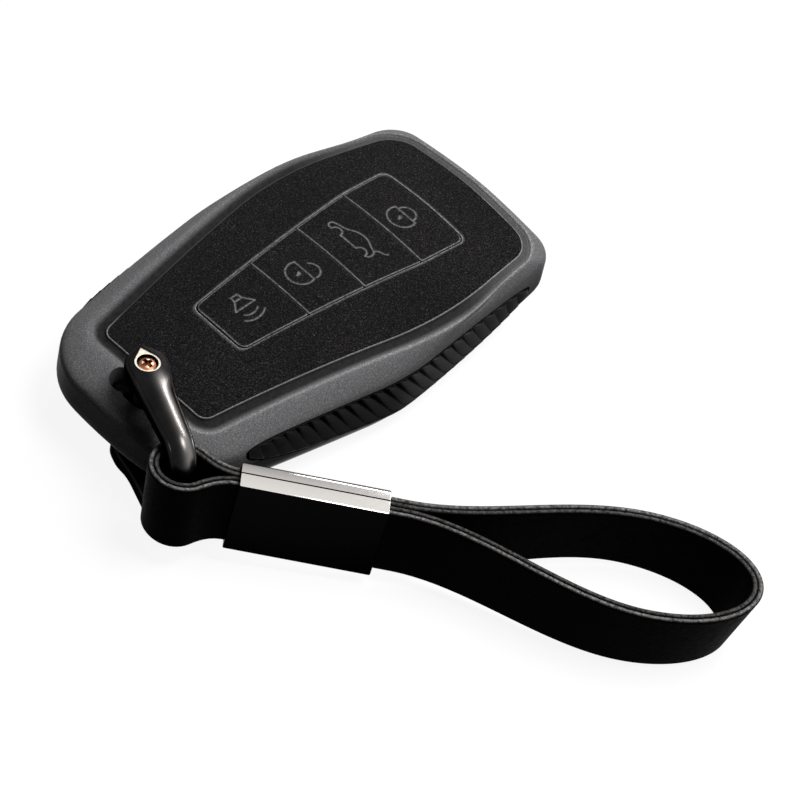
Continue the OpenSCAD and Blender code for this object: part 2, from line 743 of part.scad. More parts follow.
function strap_path() = concat(
    [[clamp_mid - butt_gap / 2, leg]],
    neck_leg(1),
    small_loop(),
    [for (k = [0 : 5]) let (t = (k + 0.5) / 6) [blend(-neck * cos(neck_turn), clamp_start, t), -neck_half(t)]],
    [[clamp_start, -leg], [clamp_end, -leg]],
    big_leg(-1),
    big_end(),
    [for (k = [14 : -1 : 0]) big_leg(1)[k]],
    [[clamp_mid + butt_gap / 2, leg]]
);
// Offset of the path to its right, which is the outside of both loops
function beside(path, off) = let (last = len(path) - 1) [for (i = [0 : last])
    let (way = unit(path[min(i + 1, last)] - path[max(i - 1, 0)])) path[i] + off * [way.y, -way.x]];

module place_strap() {
    translate([bow_x, bow_y, band_low_z + strap_w / 2]) rotate([0, 0, strap_angle]) rotate([0, strap_tilt, 0])
        translate([0, 0, -strap_w / 2]) children();
}

module ply(near, far) {
    path = strap_path();
    out = beside(path, far);
    in = beside(path, near);
    linear_extrude(strap_w) polygon(concat(out, [for (i = [len(in) - 1 : -1 : 0]) in[i]]));
}

// Holes for the clamp's screws
module clamp_screw_holes(clearance, end) {
    clamp_screw_places() translate([0, 0, -end]) cylinder(r = clamp_screw_r + clearance, h = 2 * end, $fn = round_fn);
}

module strap_outer_ply() {
    place_strap() color("#161617") difference() {
        ply(0, ply_t);
        clamp_screw_holes(fit, clamp_depth);
    }
}

module strap_inner_ply() {
    place_strap() color("#1e1d1d") difference() {
        ply(-ply_t, 0);
        clamp_screw_holes(fit, clamp_depth);
        translate([0, 0, -over]) cylinder(r = small_loop_r + 6 * ply_gap, h = strap_w + 2 * over, $fn = round_fn);
    }
}

// Clamp: two channel halves that meet over the strap's edges
module clamp_half(side) {
    high = strap_w + 2 * clamp_wall + 2 * clamp_fit;
    mirror([0, side < 0 ? 1 : 0, 0]) translate([clamp_start, 0, -clamp_wall - clamp_fit]) difference() {
        cube([clamp_len, clamp_depth / 2, high]);
        translate([-over, -over, clamp_wall])
            cube([clamp_len + 2 * over, clamp_depth / 2 - clamp_wall + over, high - 2 * clamp_wall]);
    }
}

module clamp_screw_places() {
    for (share = clamp_screw_shares) translate([clamp_start + clamp_len * share, 0, strap_w / 2])
        rotate([-90, 0, 0]) children();
}

module clamp_front_half() {
    place_strap() color("#77787c") difference() {
        clamp_half(-1);
        clamp_screw_holes(shank_fit, clamp_depth / 2 - clamp_tip + shank_fit);
    }
}

module clamp_rear_half() {
    place_strap() color("#77787c") difference() {
        clamp_half(1);
        clamp_screw_holes(shank_fit, clamp_depth);
    }
}

module clamp_screws() {
    place_strap() color("#8a8b8f") clamp_screw_places() {
        translate([0, 0, clamp_tip - clamp_depth / 2])
            cylinder(r = clamp_screw_r, h = clamp_depth - clamp_tip, $fn = round_fn);
        translate([0, 0, clamp_depth / 2]) cylinder(r = clamp_head_r, h = clamp_head_t, $fn = round_fn);
    }
}

module left_side_grip() {
    color("#0c0c0d") side_grip(-1);
}

module right_side_grip() {
    color("#0c0c0d") side_grip(1);
}

module lock_button() {
    color("#1d1d1e") key_cap(3);
}

module trunk_button() {
    color("#1d1d1e") key_cap(2);
}

module unlock_button() {
    color("#1d1d1e") key_cap(1);
}

module alarm_button() {
    color("#1d1d1e") key_cap(0);
}

module lock_plunger() {
    color("#6b6e73") key_plunger(3);
}

module trunk_plunger() {
    color("#6b6e73") key_plunger(2);
}

module unlock_plunger() {
    color("#6b6e73") key_plunger(1);
}

module alarm_plunger() {
    color("#6b6e73") key_plunger(0);
}

front_shell();
front_suede_panel();
front_backing_plate();
button_membrane();
front_liner();
left_side_grip();
right_side_grip();
lock_button();
trunk_button();
unlock_button();
alarm_button();
lock_plunger();
trunk_plunger();
unlock_plunger();
alarm_plunger();
rear_shell();
rear_suede_panel();
rear_liner();
shackle();
shackle_screw();
strap_outer_ply();
strap_inner_ply();
clamp_front_half();
clamp_rear_half();
clamp_screws();
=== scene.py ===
"""Key fob cover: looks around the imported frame.

Lengths are in millimetres up to the mesh builders, which turn them into metres.
"""

from math import acos, atan, atan2, copysign, cos, degrees, hypot, pi, radians, sin, tan

import bmesh
import bpy
import numpy as np
from mathutils import Matrix, Vector


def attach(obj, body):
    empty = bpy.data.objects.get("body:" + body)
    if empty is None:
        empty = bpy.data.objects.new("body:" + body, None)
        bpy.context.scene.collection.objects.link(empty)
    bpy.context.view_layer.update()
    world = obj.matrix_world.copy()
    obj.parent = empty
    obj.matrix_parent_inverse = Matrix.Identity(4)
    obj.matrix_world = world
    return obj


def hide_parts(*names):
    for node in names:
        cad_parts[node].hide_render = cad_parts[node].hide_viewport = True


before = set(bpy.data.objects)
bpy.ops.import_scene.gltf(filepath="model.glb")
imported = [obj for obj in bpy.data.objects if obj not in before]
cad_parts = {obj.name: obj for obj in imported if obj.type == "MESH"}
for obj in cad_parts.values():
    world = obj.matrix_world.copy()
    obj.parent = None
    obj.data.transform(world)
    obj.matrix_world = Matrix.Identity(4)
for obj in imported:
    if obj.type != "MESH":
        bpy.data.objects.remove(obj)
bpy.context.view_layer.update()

MM = 0.001

# Sizes of the shell, as in the frame
HALF_LEN = 45.9
SHELL_THICK = 19.8
NARROW_HALF, WAIST_HALF, WIDE_HALF = 19.5, 25.9, 20.6
WAIST_Y = 2.0
END_BOW = 1.2
NARROW_R, WIDE_R, WAIST_R, END_R = 14.5, 5.0, 55.0, 90.0
CROWN_LEN_R, CROWN_WIDE_R, REAR_R = 250.0, 100.0, 150.0
REST_CUT = 0.7
CROWN_SHIFT = 4.0
WALL, WEB = 2.2, 1.2
SEAM_Z, SEAM_TILT, SEAM_GAP = 8.0, 2.9, 0.15
LUG_GAP_Y = HALF_LEN - 10.6
CAVITY_NARROW_Y = HALF_LEN - 12.1
PANEL_NARROW_R, PANEL_WIDE_R, PANEL_WAIST_R, PANEL_WAIST_SHIFT = 2.2, 5.6, 76.0, 12.5
RIM_NARROW_END, RIM_WIDE_END = 9.8, 3.9
RIM_NARROW_SIDE, RIM_WAIST_SIDE, RIM_WIDE_SIDE = 6.8, 4.2, 3.2
REAR_RIM_NARROW_END, REAR_RIM_WIDE_END, REAR_RIM_SIDE = 16.0, 9.0, 4.6
CREST_BAND, CREST_RISE, REAR_CREST_BAND = 2.9, 0.3, 1.5
UPPER_ROLL, LOWER_ROLL = 0.33, 0.34
FRONT_PANEL_T, REAR_PANEL_T = 0.9, 1.4
FIT, RUN_GAP, OVER = 0.1, 0.3, 1.0
PANEL_SHRINK = 0.04
# painted shade on the side walls: how dark, from which depth under the crest and over how much of it
PAINTED_WALL_SHADE, SHADE_START, SHADE_RUN = 0.88, 1.2, 6.3

# Keys
KEY_LENS = (14.8, 12.8, 13.4, 11.3)
KEYS_Y = 24.9 - HALF_LEN
KEYS_HALVES = (6.3, 10.3, 10.5)
KEYS_SPLIT_Y = KEYS_Y + sum(KEY_LENS[:3])
KEYS_BOW, KEYS_R, KEY_INNER_R = 0.2, 1.6, 0.25
CAP_T, KEY_SPLIT, KEYS_ROOM = 1.4, 0.14, 0.6
LINE_W, LINE_DEPTH, KEY_STEP = 0.15, 0.16, 0.11
SUEDE_EDGE_R = 0.16

# Side grips
RIBS = 24
RIB_H, RIB_SLANT = 0.9, 42.0
GRIP_Y = (12.9 - HALF_LEN, HALF_LEN - 6.9)
GRIP_Z, GRIP_SLOPE, GRIP_UP, GRIP_DOWN, GRIP_INSET, GRIP_DEPTH = 11.0, 0.06, 2.2, 6.5, 0.6, 17.6
WAIST_CUT = 0.35

# Slot, shackle and screw
SLOT_Y, SLOT_HALF, SLOT_R, SLOT_RIGHT = HALF_LEN - 4.9, 5.2, 2.3, 0.3
LUG_R, LUG_REACH, LUG_SINK, LUG_ROUND, RECESS_SINK = 1.5, 2.1, 1.6, 0.7, 4.6
PIN = (1.7, 5.5 - HALF_LEN)
ARM_T, ARM_GAP, ARM_W, EAR_W, BOW_W, BOW_REACH, BOW_IN_R = 3.8, 17.0, 6.0, 7.6, 4.8, 20.0, 2.0
SHACKLE_H = ARM_GAP + 2 * ARM_T
SHACKLE_ANGLE = -24.0
EAR_TIP, EAR_TIP_W, TAPER_START = 3.9, 2.4, 8.0
HEAD_R, HEAD_T, HEAD_SINK, HEAD_FIT, HEAD_DOME, SCREW_R = 1.72, 1.5, 0.25, 0.2, 0.62, 1.5
SLOTS_TURN = 20.0
POCKET_R, POCKET_TIP, POCKET_TURN, POCKET_SINK, ARCH = 2.3, 3.6, 127.0, 0.2, 0.1

# Strap and clamp
STRAP_W, PLY_T, PLY_GAP, PLY_LIP = 15.0, 1.0, 0.05, 0.3
STRAP_REACH, LOOP_HALF, LOOP_SHARE, LOOP_DRIFT = 100.5, 11.0, 0.67, 1.6
LOOP_LEAN, TIP_LEAN, BOW_LEAN = 1.0, 1.25, 0.6
CLAMP_START, CLAMP_LEN, CLAMP_WALL, CLAMP_FIT = 9.6, 26.0, 0.9, 0.1
SEAM_HALF, SEAM_CUT, CLAMP_LOW_R, CLAMP_FRONT_R, CLAMP_REAR_R = 0.02, 0.13, 0.55, 0.35, 1.5
LEG_RUN, PLY_BUTT = 3.0, 0.3
SMALL_LOOP_R = hypot(BOW_W / 2, ARM_T / 2 - 0.5) + 0.95
NECK_TURN, NECK_HOLD = 128.0, 2.7
BAND_LOW_Z, FAR_LOW_Z = 5.1, 0.1
STRAP_ANGLE = 41.0
STRAP_T = 2 * (PLY_T + PLY_GAP)
STRAP_TILT = degrees(atan((BAND_LOW_Z - FAR_LOW_Z) / STRAP_REACH))
BOW = (PIN[0] + BOW_REACH * cos(radians(SHACKLE_ANGLE)),
       PIN[1] + BOW_REACH * sin(radians(SHACKLE_ANGLE)))


# Places
def shift(x, y, z):
    return Matrix.Translation(Vector((x, y, z)) * MM)


def spin(angle, axis):
    return Matrix.Rotation(radians(angle), 4, axis)


def add_object(name, data):
    obj = bpy.data.objects.new(name, data)
    bpy.context.scene.collection.objects.link(obj)
    return obj


SHACKLE_PLACE = shift(*PIN, 0) @ spin(SHACKLE_ANGLE, "Z")
STRAP_PLACE = (shift(*BOW, BAND_LOW_Z + STRAP_W / 2) @ spin(STRAP_ANGLE, "Z") @ spin(STRAP_TILT, "Y")
               @ shift(0, 0, -STRAP_W / 2))


# Camera first: it stands where the photograph was taken from
PHOTO_SIDE = 800
CAMERA_AZ, CAMERA_EL, CAMERA_ROLL = 37.2, 46.0, 11.8
CAMERA_FOCAL_PX, CAMERA_DISTANCE = 4500.0, 799.0
TARGET_PX = (304.0, 272.0)
SENSOR = 36.0


def add_camera():
    look = spin(CAMERA_AZ, "Z") @ spin(90 - CAMERA_EL, "X") @ spin(CAMERA_ROLL, "Z")
    # the picture's middle lies off the target by this much, and the camera turns towards it
    across, down = ((PHOTO_SIDE / 2 - px) / CAMERA_FOCAL_PX for px in TARGET_PX)
    tilt, pan = degrees(atan(down)), degrees(atan(across / hypot(1, down)))
    data = bpy.data.cameras.new("photo_camera")
    data.sensor_width = SENSOR
    data.lens = CAMERA_FOCAL_PX * SENSOR / PHOTO_SIDE
    data.clip_start, data.clip_end = 0.01, 20.0
    camera = add_object("photo_camera", data)
    camera.matrix_world = (shift(0, 0, SHELL_THICK) @ look @ shift(0, 0, CAMERA_DISTANCE)
                           @ spin(-tilt, "X") @ spin(-pan, "Y"))
    bpy.context.scene.camera = camera


add_camera()


# Curves
def ease(t):
    return t * t * (3 - 2 * t)


def rise(values, start, run):
    """0 up to start, then eased up to 1 over the run."""
    return ease(np.clip((np.asarray(values) - start) / run, 0, 1))


def turns(start, stop, count):
    return np.radians(np.linspace(start, stop, count))


def cut_corners(points, passes=3):
    """A smooth open curve from a control polygon, by cutting its corners again and again."""
    points = np.array(points, float)
    for _ in range(passes):
        near = points[:-1] * 0.75 + points[1:] * 0.25
        far = points[:-1] * 0.25 + points[1:] * 0.75
        points = np.concatenate([points[:1], np.stack([near, far], 1).reshape(-1, 2), points[-1:]])
    return points


def mirrored(points):
    return [(x, -y) for x, y in reversed(points)]


def circle_arc(x, y, radius, start, stop, steps=18):
    angles = turns(start, stop, steps)
    return np.c_[x + radius * np.cos(angles), y + radius * np.sin(angles)]


def disc(centre, radius, steps=64):
    return circle_arc(*centre, radius, 0, 360, steps + 1)[:-1]


def capsule(x0, x1, y, radius, steps=24):
    return np.concatenate([circle_arc(x1 - radius, y, radius, -90, 90, steps + 1),
                           circle_arc(x0 + radius, y, radius, 90, 270, steps + 1)])


# The ends' bow, then (half width, y, corner radius) at the narrow end, the waist and the wide end
FOB_OUTLINES = {
    "shell": (END_BOW, (NARROW_HALF, -HALF_LEN, NARROW_R), (WAIST_HALF, WAIST_Y, WAIST_R),
              (WIDE_HALF, HALF_LEN, WIDE_R)),
    "panel": (END_BOW / 2, (NARROW_HALF - RIM_NARROW_SIDE, RIM_NARROW_END - HALF_LEN, PANEL_NARROW_R),
              (WAIST_HALF - RIM_WAIST_SIDE, WAIST_Y + PANEL_WAIST_SHIFT, PANEL_WAIST_R),
              (WIDE_HALF - RIM_WIDE_SIDE, HALF_LEN - RIM_WIDE_END, PANEL_WIDE_R)),
    "rear": (END_BOW / 2, (NARROW_HALF - REAR_RIM_SIDE, REAR_RIM_NARROW_END - HALF_LEN, PANEL_WIDE_R),
             (WAIST_HALF - REAR_RIM_SIDE, WAIST_Y, WAIST_R),
             (WIDE_HALF - REAR_RIM_SIDE, HALF_LEN - REAR_RIM_WIDE_END, PANEL_WIDE_R)),
    "cavity": (END_BOW / 2, (NARROW_HALF - WALL / 2, -CAVITY_NARROW_Y, PANEL_WIDE_R),
               (WAIST_HALF - WALL, WAIST_Y, WAIST_R), (WIDE_HALF - WALL, HALF_LEN - WALL, PANEL_WIDE_R)),
    "keys": (KEYS_BOW, (KEYS_HALVES[0], KEYS_Y, KEYS_R), (KEYS_HALVES[1], KEYS_SPLIT_Y, PANEL_WAIST_R),
             (KEYS_HALVES[2], KEYS_Y + sum(KEY_LENS), KEYS_R)),
}


def arc_corner(before, at, after, steps):
    """Points of the arc that rounds one corner; a corner is (x, y, radius)."""
    here = np.array(at[:2])
    back, on = np.array(before[:2]) - here, np.array(after[:2]) - here
    back, on = back / np.linalg.norm(back), on / np.linalg.norm(on)
    half = acos(float(back @ on)) / 2
    middle = back + on
    centre = here + middle / np.linalg.norm(middle) * at[2] / sin(half)
    first = here + back * at[2] / tan(half) - centre
    start = atan2(first[1], first[0])
    angles = start + (pi - 2 * half) * np.linspace(0, 1, steps + 1)
    return centre + at[2] * np.c_[np.cos(angles), np.sin(angles)]


def fob_outline(kind, grow=0.0, arc_steps=14, edge_steps=8):
    """Closed anticlockwise outline, grown outwards, with its straight runs cut into steps."""
    bow, (low_half, low_y, low_r), (mid_half, mid_y, mid_r), (high_half, high_y, high_r) = FOB_OUTLINES[kind]
    low_y, high_y = low_y - grow, high_y + grow
    right = [(0, low_y - bow, END_R), (low_half + grow, low_y, low_r + grow), (mid_half + grow, mid_y, mid_r),
             (high_half + grow, high_y, high_r + grow), (0, high_y + bow, END_R)]
    corners = right + [(-x, y, r) for x, y, r in reversed(right[1:4])]
    count = len(corners)
    arcs = [arc_corner(corners[i - 1], corners[i], corners[(i + 1) % count], arc_steps) for i in range(count)]
    shares = np.arange(1, edge_steps)[:, None] / edge_steps
    points = []
    for i, arc in enumerate(arcs):
        points += [arc, arc[-1] + (arcs[(i + 1) % count][0] - arc[-1]) * shares]
    return np.concatenate(points)


def wide_side(y):
    """0 along most of the shell, rising to 1 towards the wide end."""
    return rise(y, 18.0, 18.0)


def crest_outline():
    """The rim's ridge, nearer to the suede at the wide end."""
    panel = fob_outline("panel")
    band = CREST_BAND * (1 - 0.36 * wide_side(panel[:, 1]))
    return panel + (fob_outline("panel", 1.0) - panel) * band[:, None]


def face_z(x, y):
    return SHELL_THICK - x * x / (2 * CROWN_WIDE_R) - y * y / (2 * CROWN_LEN_R)


def rear_z(x, y):
    return (x * x + (y - CROWN_SHIFT) ** 2) / (2 * REAR_R) - REST_CUT


def seam_at(y):
    return SEAM_Z / cos(radians(SEAM_TILT)) - y * tan(radians(SEAM_TILT))


def raised(outline, heights):
    return np.c_[outline, np.broadcast_to(heights, len(outline))]


def on_face(outline, off):
    return raised(outline, face_z(*outline.T) + off)


def on_rear(outline, off):
    return raised(outline, rear_z(*outline.T) + off)


def middle_y(outline):
    return (outline[:, 1].max() + outline[:, 1].min()) / 2


def hub(surface, outline, off):
    """The point of the cover's long axis in the middle of an outline, off a surface."""
    y = middle_y(outline)
    return (0, y, surface(0, y) + off)


def shrunk(outline, share):
    middle = middle_y(outline)
    return np.c_[outline[:, 0] * share, middle + (outline[:, 1] - middle) * share]


# Meshes
def new_object(name, vertices, faces):
    mesh = bpy.data.meshes.new(name)
    mesh.from_pydata([tuple(v) for v in np.asarray(vertices) * MM], [], [list(f) for f in faces])
    mesh.validate()
    return add_object(name, mesh)


def ring_faces(levels, count, closed=False):
    faces = []
    for level in range(levels if closed else levels - 1):
        low, high = level * count, (level + 1) % levels * count
        faces += [(low + i, low + (i + 1) % count, high + (i + 1) % count, high + i) for i in range(count)]
    return faces


def stack(rings, low, high):
    """Closed solid through rings, from a bottom centre to a top centre."""
    count, levels = len(rings[0]), len(rings)
    vertices = np.concatenate(list(rings) + [np.array([low, high], float)])
    last = (levels - 1) * count
    faces = ring_faces(levels, count)
    faces += [((i + 1) % count, i, levels * count) for i in range(count)]
    faces += [(last + i, last + (i + 1) % count, levels * count + 1) for i in range(count)]
    return vertices, faces


def tube(rings):
    """Closed solid through rings, with flat ends."""
    count, last = len(rings[0]), (len(rings) - 1) * len(rings[0])
    ends = [tuple(range(count - 1, -1, -1)), tuple(range(last, last + count))]
    return np.concatenate(rings), ring_faces(len(rings), count) + ends


def prism(outline, low, high):
    return tube([raised(outline, low), raised(outline, high)])


def block(low, high):
    (x0, y0, z0), (x1, y1, z1) = low, high
    return prism(np.array([(x0, y0), (x1, y0), (x1, y1), (x0, y1)], float), z0, z1)


def grid_faces(rows, columns):
    return [(j * columns + i, j * columns + i + 1, (j + 1) * columns + i + 1, (j + 1) * columns + i)
            for j in range(rows - 1) for i in range(columns - 1)]


def grid_rim(rows, columns):
    """Points round the border of a grid, in order."""
    grid = np.arange(rows * columns).reshape(rows, columns)
    return np.concatenate([grid[0], grid[1:, -1], grid[-1, -2::-1], grid[-2:0:-1, 0]]).tolist()


def band_faces(first, second):
    """Faces between two closed rows of points."""
    count = len(first)
    return [(first[k], second[k], second[(k + 1) % count], first[(k + 1) % count]) for k in range(count)]


def boolean(target, tool, how="DIFFERENCE"):
    """Cuts target with tool, which is used up."""
    modifier = target.modifiers.new("cut", "BOOLEAN")
    modifier.object, modifier.operation, modifier.solver = tool, how, "EXACT"
    bpy.context.view_layer.update()
    result = target.evaluated_get(bpy.context.evaluated_depsgraph_get())
    used = (target.data, tool.data)
    mesh = bpy.data.meshes.new_from_object(result)
    target.modifiers.clear()
    target.data = mesh
    bpy.data.objects.remove(tool)
    for old in used:
        bpy.data.meshes.remove(old)
    mesh.name = target.name


def cut(target, outline, low, high, how="DIFFERENCE"):
    boolean(target, new_object("cutter", *prism(outline, low, high)), how)


def smooth(obj, angle=35.0):
    """Smooth shading, with edges sharper than the angle kept sharp."""
    work = bmesh.new()
    work.from_mesh(obj.data)
    bmesh.ops.remove_doubles(work, verts=work.verts, dist=1e-7)
    bmesh.ops.dissolve_degenerate(work, edges=work.edges, dist=1e-7)
    bmesh.ops.recalc_face_normals(work, faces=work.faces)
    for face in work.faces:
        face.smooth = True
    limit = radians(angle)
    for edge in work.edges:
        edge.smooth = len(edge.link_faces) == 2 and edge.calc_face_angle(0.0) < limit
    work.to_mesh(obj.data)
    work.free()
    obj.data.update()


def stroke_distance(points, stroke):
    """Least distance from each point to a polyline."""
    best = np.full(len(points), 1e9)
    for a, b in zip(stroke[:-1], stroke[1:]):
        edge = b - a
        along = np.clip(((points - a) @ edge) / max(float(edge @ edge), 1e-9), 0, 1)
        best = np.minimum(best, np.linalg.norm(points - a - along[:, None] * edge, axis=1))
    return best


def edge_distance(points, outline):
    return stroke_distance(points, np.concatenate([outline, outline[:1]]))


def inside(points, outline):
    """True where a point lies within a closed outline."""
    x, y = points[:, :1], points[:, 1:2]
    a, b = outline, np.roll(outline, -1, 0)
    run = np.where(b[:, 1] == a[:, 1], 1e-9, b[:, 1] - a[:, 1])
    crossed = ((a[:, 1] > y) != (b[:, 1] > y)) & (x < (b[:, 0] - a[:, 0]) * (y - a[:, 1]) / run + a[:, 0])
    return crossed.sum(1) % 2 == 1


def read_vectors(items, key):
    """One row for each vertex or face of a mesh."""
    values = np.empty(3 * len(items), np.float32)
    items.foreach_get(key, values)
    return values.reshape(-1, 3).astype(float)


def set_point_float(obj, values, name="wear_and_painted_light"):
    """Per-point float that the materials read."""
    attribute = obj.data.attributes.new(name, "FLOAT", "POINT")
    attribute.data.foreach_set("value", np.asarray(values, np.float32))


def coat(obj, material):
    obj.data.materials.clear()
    obj.data.materials.append(material)


def dress(obj, body, material, node=None):
    coat(obj, material)
    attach(obj, body)
    if node:
        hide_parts(node)


def more_materials(obj, materials, numbers):
    """Further finishes, and for each face the number of its own; dress gave number 0."""
    for material in materials:
        obj.data.materials.append(material)
    obj.data.polygons.foreach_set("material_index", np.asarray(numbers, np.int32))


# Materials
class Shader:
    """Small helper round the node tree of a material or a world."""

    def __init__(self, owner, surface="Principled BSDF", **sockets):
        owner.use_nodes = True
        self.owner = owner
        self.nodes, self.links = owner.node_tree.nodes, owner.node_tree.links
        self.surface = self.nodes[surface]
        self.set(**sockets)

    def feed(self, socket, value):
        """Gives a socket a number, a colour or another node's output."""
        if isinstance(value, bpy.types.NodeSocket):
            self.links.new(value, socket)
        else:
            socket.default_value = (*value, 1.0) if socket.type == "RGBA" else value

    def set(self, **sockets):
        """Feeds the surface's sockets; _ stands for a space."""
        for name, value in sockets.items():
            self.feed(self.surface.inputs[name.replace("_", " ")], value)

    def node(self, kind, inputs=None, **settings):
        node = self.nodes.new("ShaderNode" + kind)
        for name, value in settings.items():
            setattr(node, name, value)
        for key, value in (inputs or {}).items():
            self.feed(node.inputs[key], value)
        return node

    def place(self):
        return self.node("TexCoord").outputs["Object"]

    def noise(self, per_mm, detail=3.0, roughness=0.6, stretch=None):
        """Noise with about per_mm grains to a millimetre."""
        place = self.place()
        if stretch:
            place = self.node("Mapping", {"Vector": place, "Scale": stretch}).outputs["Vector"]
        sockets = {"Vector": place, "Scale": per_mm / MM, "Detail": detail, "Roughness": roughness}
        return self.node("TexNoise", sockets).outputs["Fac"]

    def cells(self, per_mm):
        return self.node("TexVoronoi", {"Vector": self.place(), "Scale": per_mm / MM}).outputs["Distance"]

    def ramp(self, source, *stops):
        node = self.node("ValToRGB", {"Fac": source})
        elements = node.color_ramp.elements
        while len(elements) < len(stops):
            elements.new(0.5)
        for element, (at, colour) in zip(elements, stops):
            element.position = at
            element.color = (*colour, 1.0) if isinstance(colour, tuple) else (colour, colour, colour, 1.0)
        return node.outputs["Color"]

    def vary(self, low, high, per_mm, detail=3.0, roughness=0.6):
        """A value or a colour that wanders from low to high over the surface."""
        return self.ramp(self.noise(per_mm, detail, roughness), (0.3, low), (0.7, high))

    def attribute(self, name):
        return self.node("Attribute", attribute_name=name).outputs["Fac"]

    def maths(self, operation, first, second):
        return self.node("Math", {0: first, 1: second}, operation=operation).outputs["Value"]

    def mix(self, share, first, second):
        return self.node("Mix", {"Factor": share, 6: first, 7: second}, data_type="RGBA").outputs[2]

    def finish(self, colour, roughness, *heights):
        """Sets the looks; heights are pairs of a source and its depth in millimetres."""
        self.set(Base_Color=colour, Roughness=roughness)
        below = {}
        for source, depth in heights:
            node = self.node("Bump", {"Strength": 1.0, "Distance": depth * MM, "Height": source, **below})
            below = {"Normal": node.outputs["Normal"]}
        self.set(**below)
        return self.owner


def paint(name, **sockets):
    return Shader(bpy.data.materials.new(name), **sockets)


def shell_metal():
    """Blasted dark grey metal with fine speckles; lighter on the scuffed crest and lip, partly a painted
    highlight, darker in the cove, and with painted shade down the side walls.
    """
    s = paint("shell_metal", Specular_IOR_Level=0.015)
    grain = s.noise(4.5, 2.0, 0.7)
    base = s.ramp(grain, (0.34, (0.095, 0.095, 0.098)), (0.52, (0.142, 0.142, 0.146)),
                  (0.64, (0.21, 0.21, 0.215)), (0.78, (0.4, 0.4, 0.405)))
    # dark colour of the cove, also used as painted shade down the side walls
    dark = s.vary((0.014, 0.014, 0.0145), (0.026, 0.026, 0.027), 1.2)
    # lighter colour of the scuffed crest and lip, partly a painted highlight
    scuffed_and_highlight = s.ramp(grain, (0.34, 0.16), (0.5, 0.27), (0.66, 0.48))
    colour = s.mix(s.attribute("wear_and_painted_light"), s.mix(s.attribute("cove_and_painted_wall_shade"), base, dark), scuffed_and_highlight)
    return s.finish(colour, s.vary(0.42, 0.5, 0.12, 2.0), (grain, 0.01))


def rear_metal():
    """Glossy black of the rear cover."""
    s = paint("rear_metal", Specular_IOR_Level=0.015)
    colour = s.ramp(s.noise(4.0, 2.0), (0.35, 0.0022), (0.7, 0.0045))
    return s.finish(colour, s.vary(0.1, 0.18, 0.15), (s.noise(6.0, 2.0), 0.002))


def suede():
    """Short napped suede: near black with lighter fibres; pressed lines and scuffed edges show paler, the
    keys' near-side edges partly by a painted highlight.
    """
    s = paint("suede", Specular_IOR_Level=0.02, Sheen_Weight=0.03, Sheen_Roughness=0.5,
              Sheen_Tint=(0.72, 0.72, 0.73))
    fibre = s.noise(3.6, 4.0, 0.8)
    dark = s.ramp(fibre, (0.4, 0.003), (0.55, (0.012, 0.012, 0.0122)), (0.64, 0.04), (0.73, 0.17))
    brown = s.ramp(fibre, (0.4, (0.0033, 0.003, 0.003)), (0.54, (0.014, 0.013, 0.013)),
                   (0.63, (0.044, 0.042, 0.042)), (0.72, (0.18, 0.175, 0.175)))
    cloud = s.ramp(s.noise(0.05, 2.0, 0.5), (0.42, 0.0), (0.62, 1.0))
    line = s.maths("MULTIPLY", s.attribute("wear_and_painted_light"), s.ramp(s.noise(2.6, 3.0, 0.7), (0.34, 0.15), (0.6, 1.0)))
    colour = s.mix(line, s.mix(cloud, dark, brown), (0.36, 0.36, 0.355))
    return s.finish(colour, 0.95, (s.noise(1.1), 0.04), (fibre, 0.06))


def gloss_black():
    """Moulded glossy black of the side grips."""
    s = paint("grip_gloss", Specular_IOR_Level=0.012)
    return s.finish(s.vary(0.004, 0.01, 2.0, 2.0), s.vary(0.24, 0.34, 0.5), (s.noise(1.5, 2.0), 0.004))


def gunmetal():
    """Dark gunmetal of the shackle, with a painted highlight band along its crown."""
    s = paint("gunmetal", Metallic=1.0, Specular_Tint=(0.3, 0.29, 0.29))
    dark = s.vary((0.009, 0.0088, 0.009), (0.013, 0.0125, 0.0125), 0.35)
    painted_highlight = s.vary((0.165, 0.156, 0.151), (0.22, 0.206, 0.196), 0.35)
    # painted highlight: lighter metal along the crown
    colour = s.mix(s.attribute("wear_and_painted_light"), dark, painted_highlight)
    return s.finish(colour, s.vary(0.3, 0.33, 0.6), (s.noise(0.4, 1.0), 0.0008))


def brass(name, low, high, rough):
    s = paint(name, Metallic=1.0)
    return s.finish(s.vary(low, high, 1.5, 4.0), s.vary(rough, rough + 0.14, 2.5), (s.noise(3.0), 0.005))


def leather(name, low, high, gloss):
    """Fine-grained black leather; its cut edges show paler and rough, the pale line on each edge's crest
    partly a painted highlight.
    """
    s = paint(name, Specular_IOR_Level=0.004)
    scuff_and_highlight = s.attribute("wear_and_painted_light")
    # pale cut edge, partly a painted highlight along its crest
    edge = s.maths("MULTIPLY", scuff_and_highlight, s.ramp(s.noise(1.5, 5.0, 0.85), (0.38, 0.04), (0.64, 1.0)))
    colour = s.mix(edge, s.vary(low, high, 0.25), (0.33, 0.32, 0.315))
    rough = s.mix(scuff_and_highlight, s.vary(gloss, gloss + 0.14, 0.8), (0.85, 0.85, 0.85))
    return s.finish(colour, rough, (s.cells(1.6), 0.035), (s.noise(3.0, 4.0, 0.7), 0.02))


BRUSHED = (1.0, 1.0, 6.0)


def clamp_metal(name, low, high, rough, edge=(1.0, 1.0, 1.0)):
    s = paint(name, Metallic=1.0, Specular_Tint=edge)
    brushed = s.noise(5.0, stretch=BRUSHED)
    colour = s.ramp(brushed, (0.3, low), (0.7, high))
    return s.finish(colour, s.vary(rough, rough + 0.05, 1.0), (brushed, 0.001))


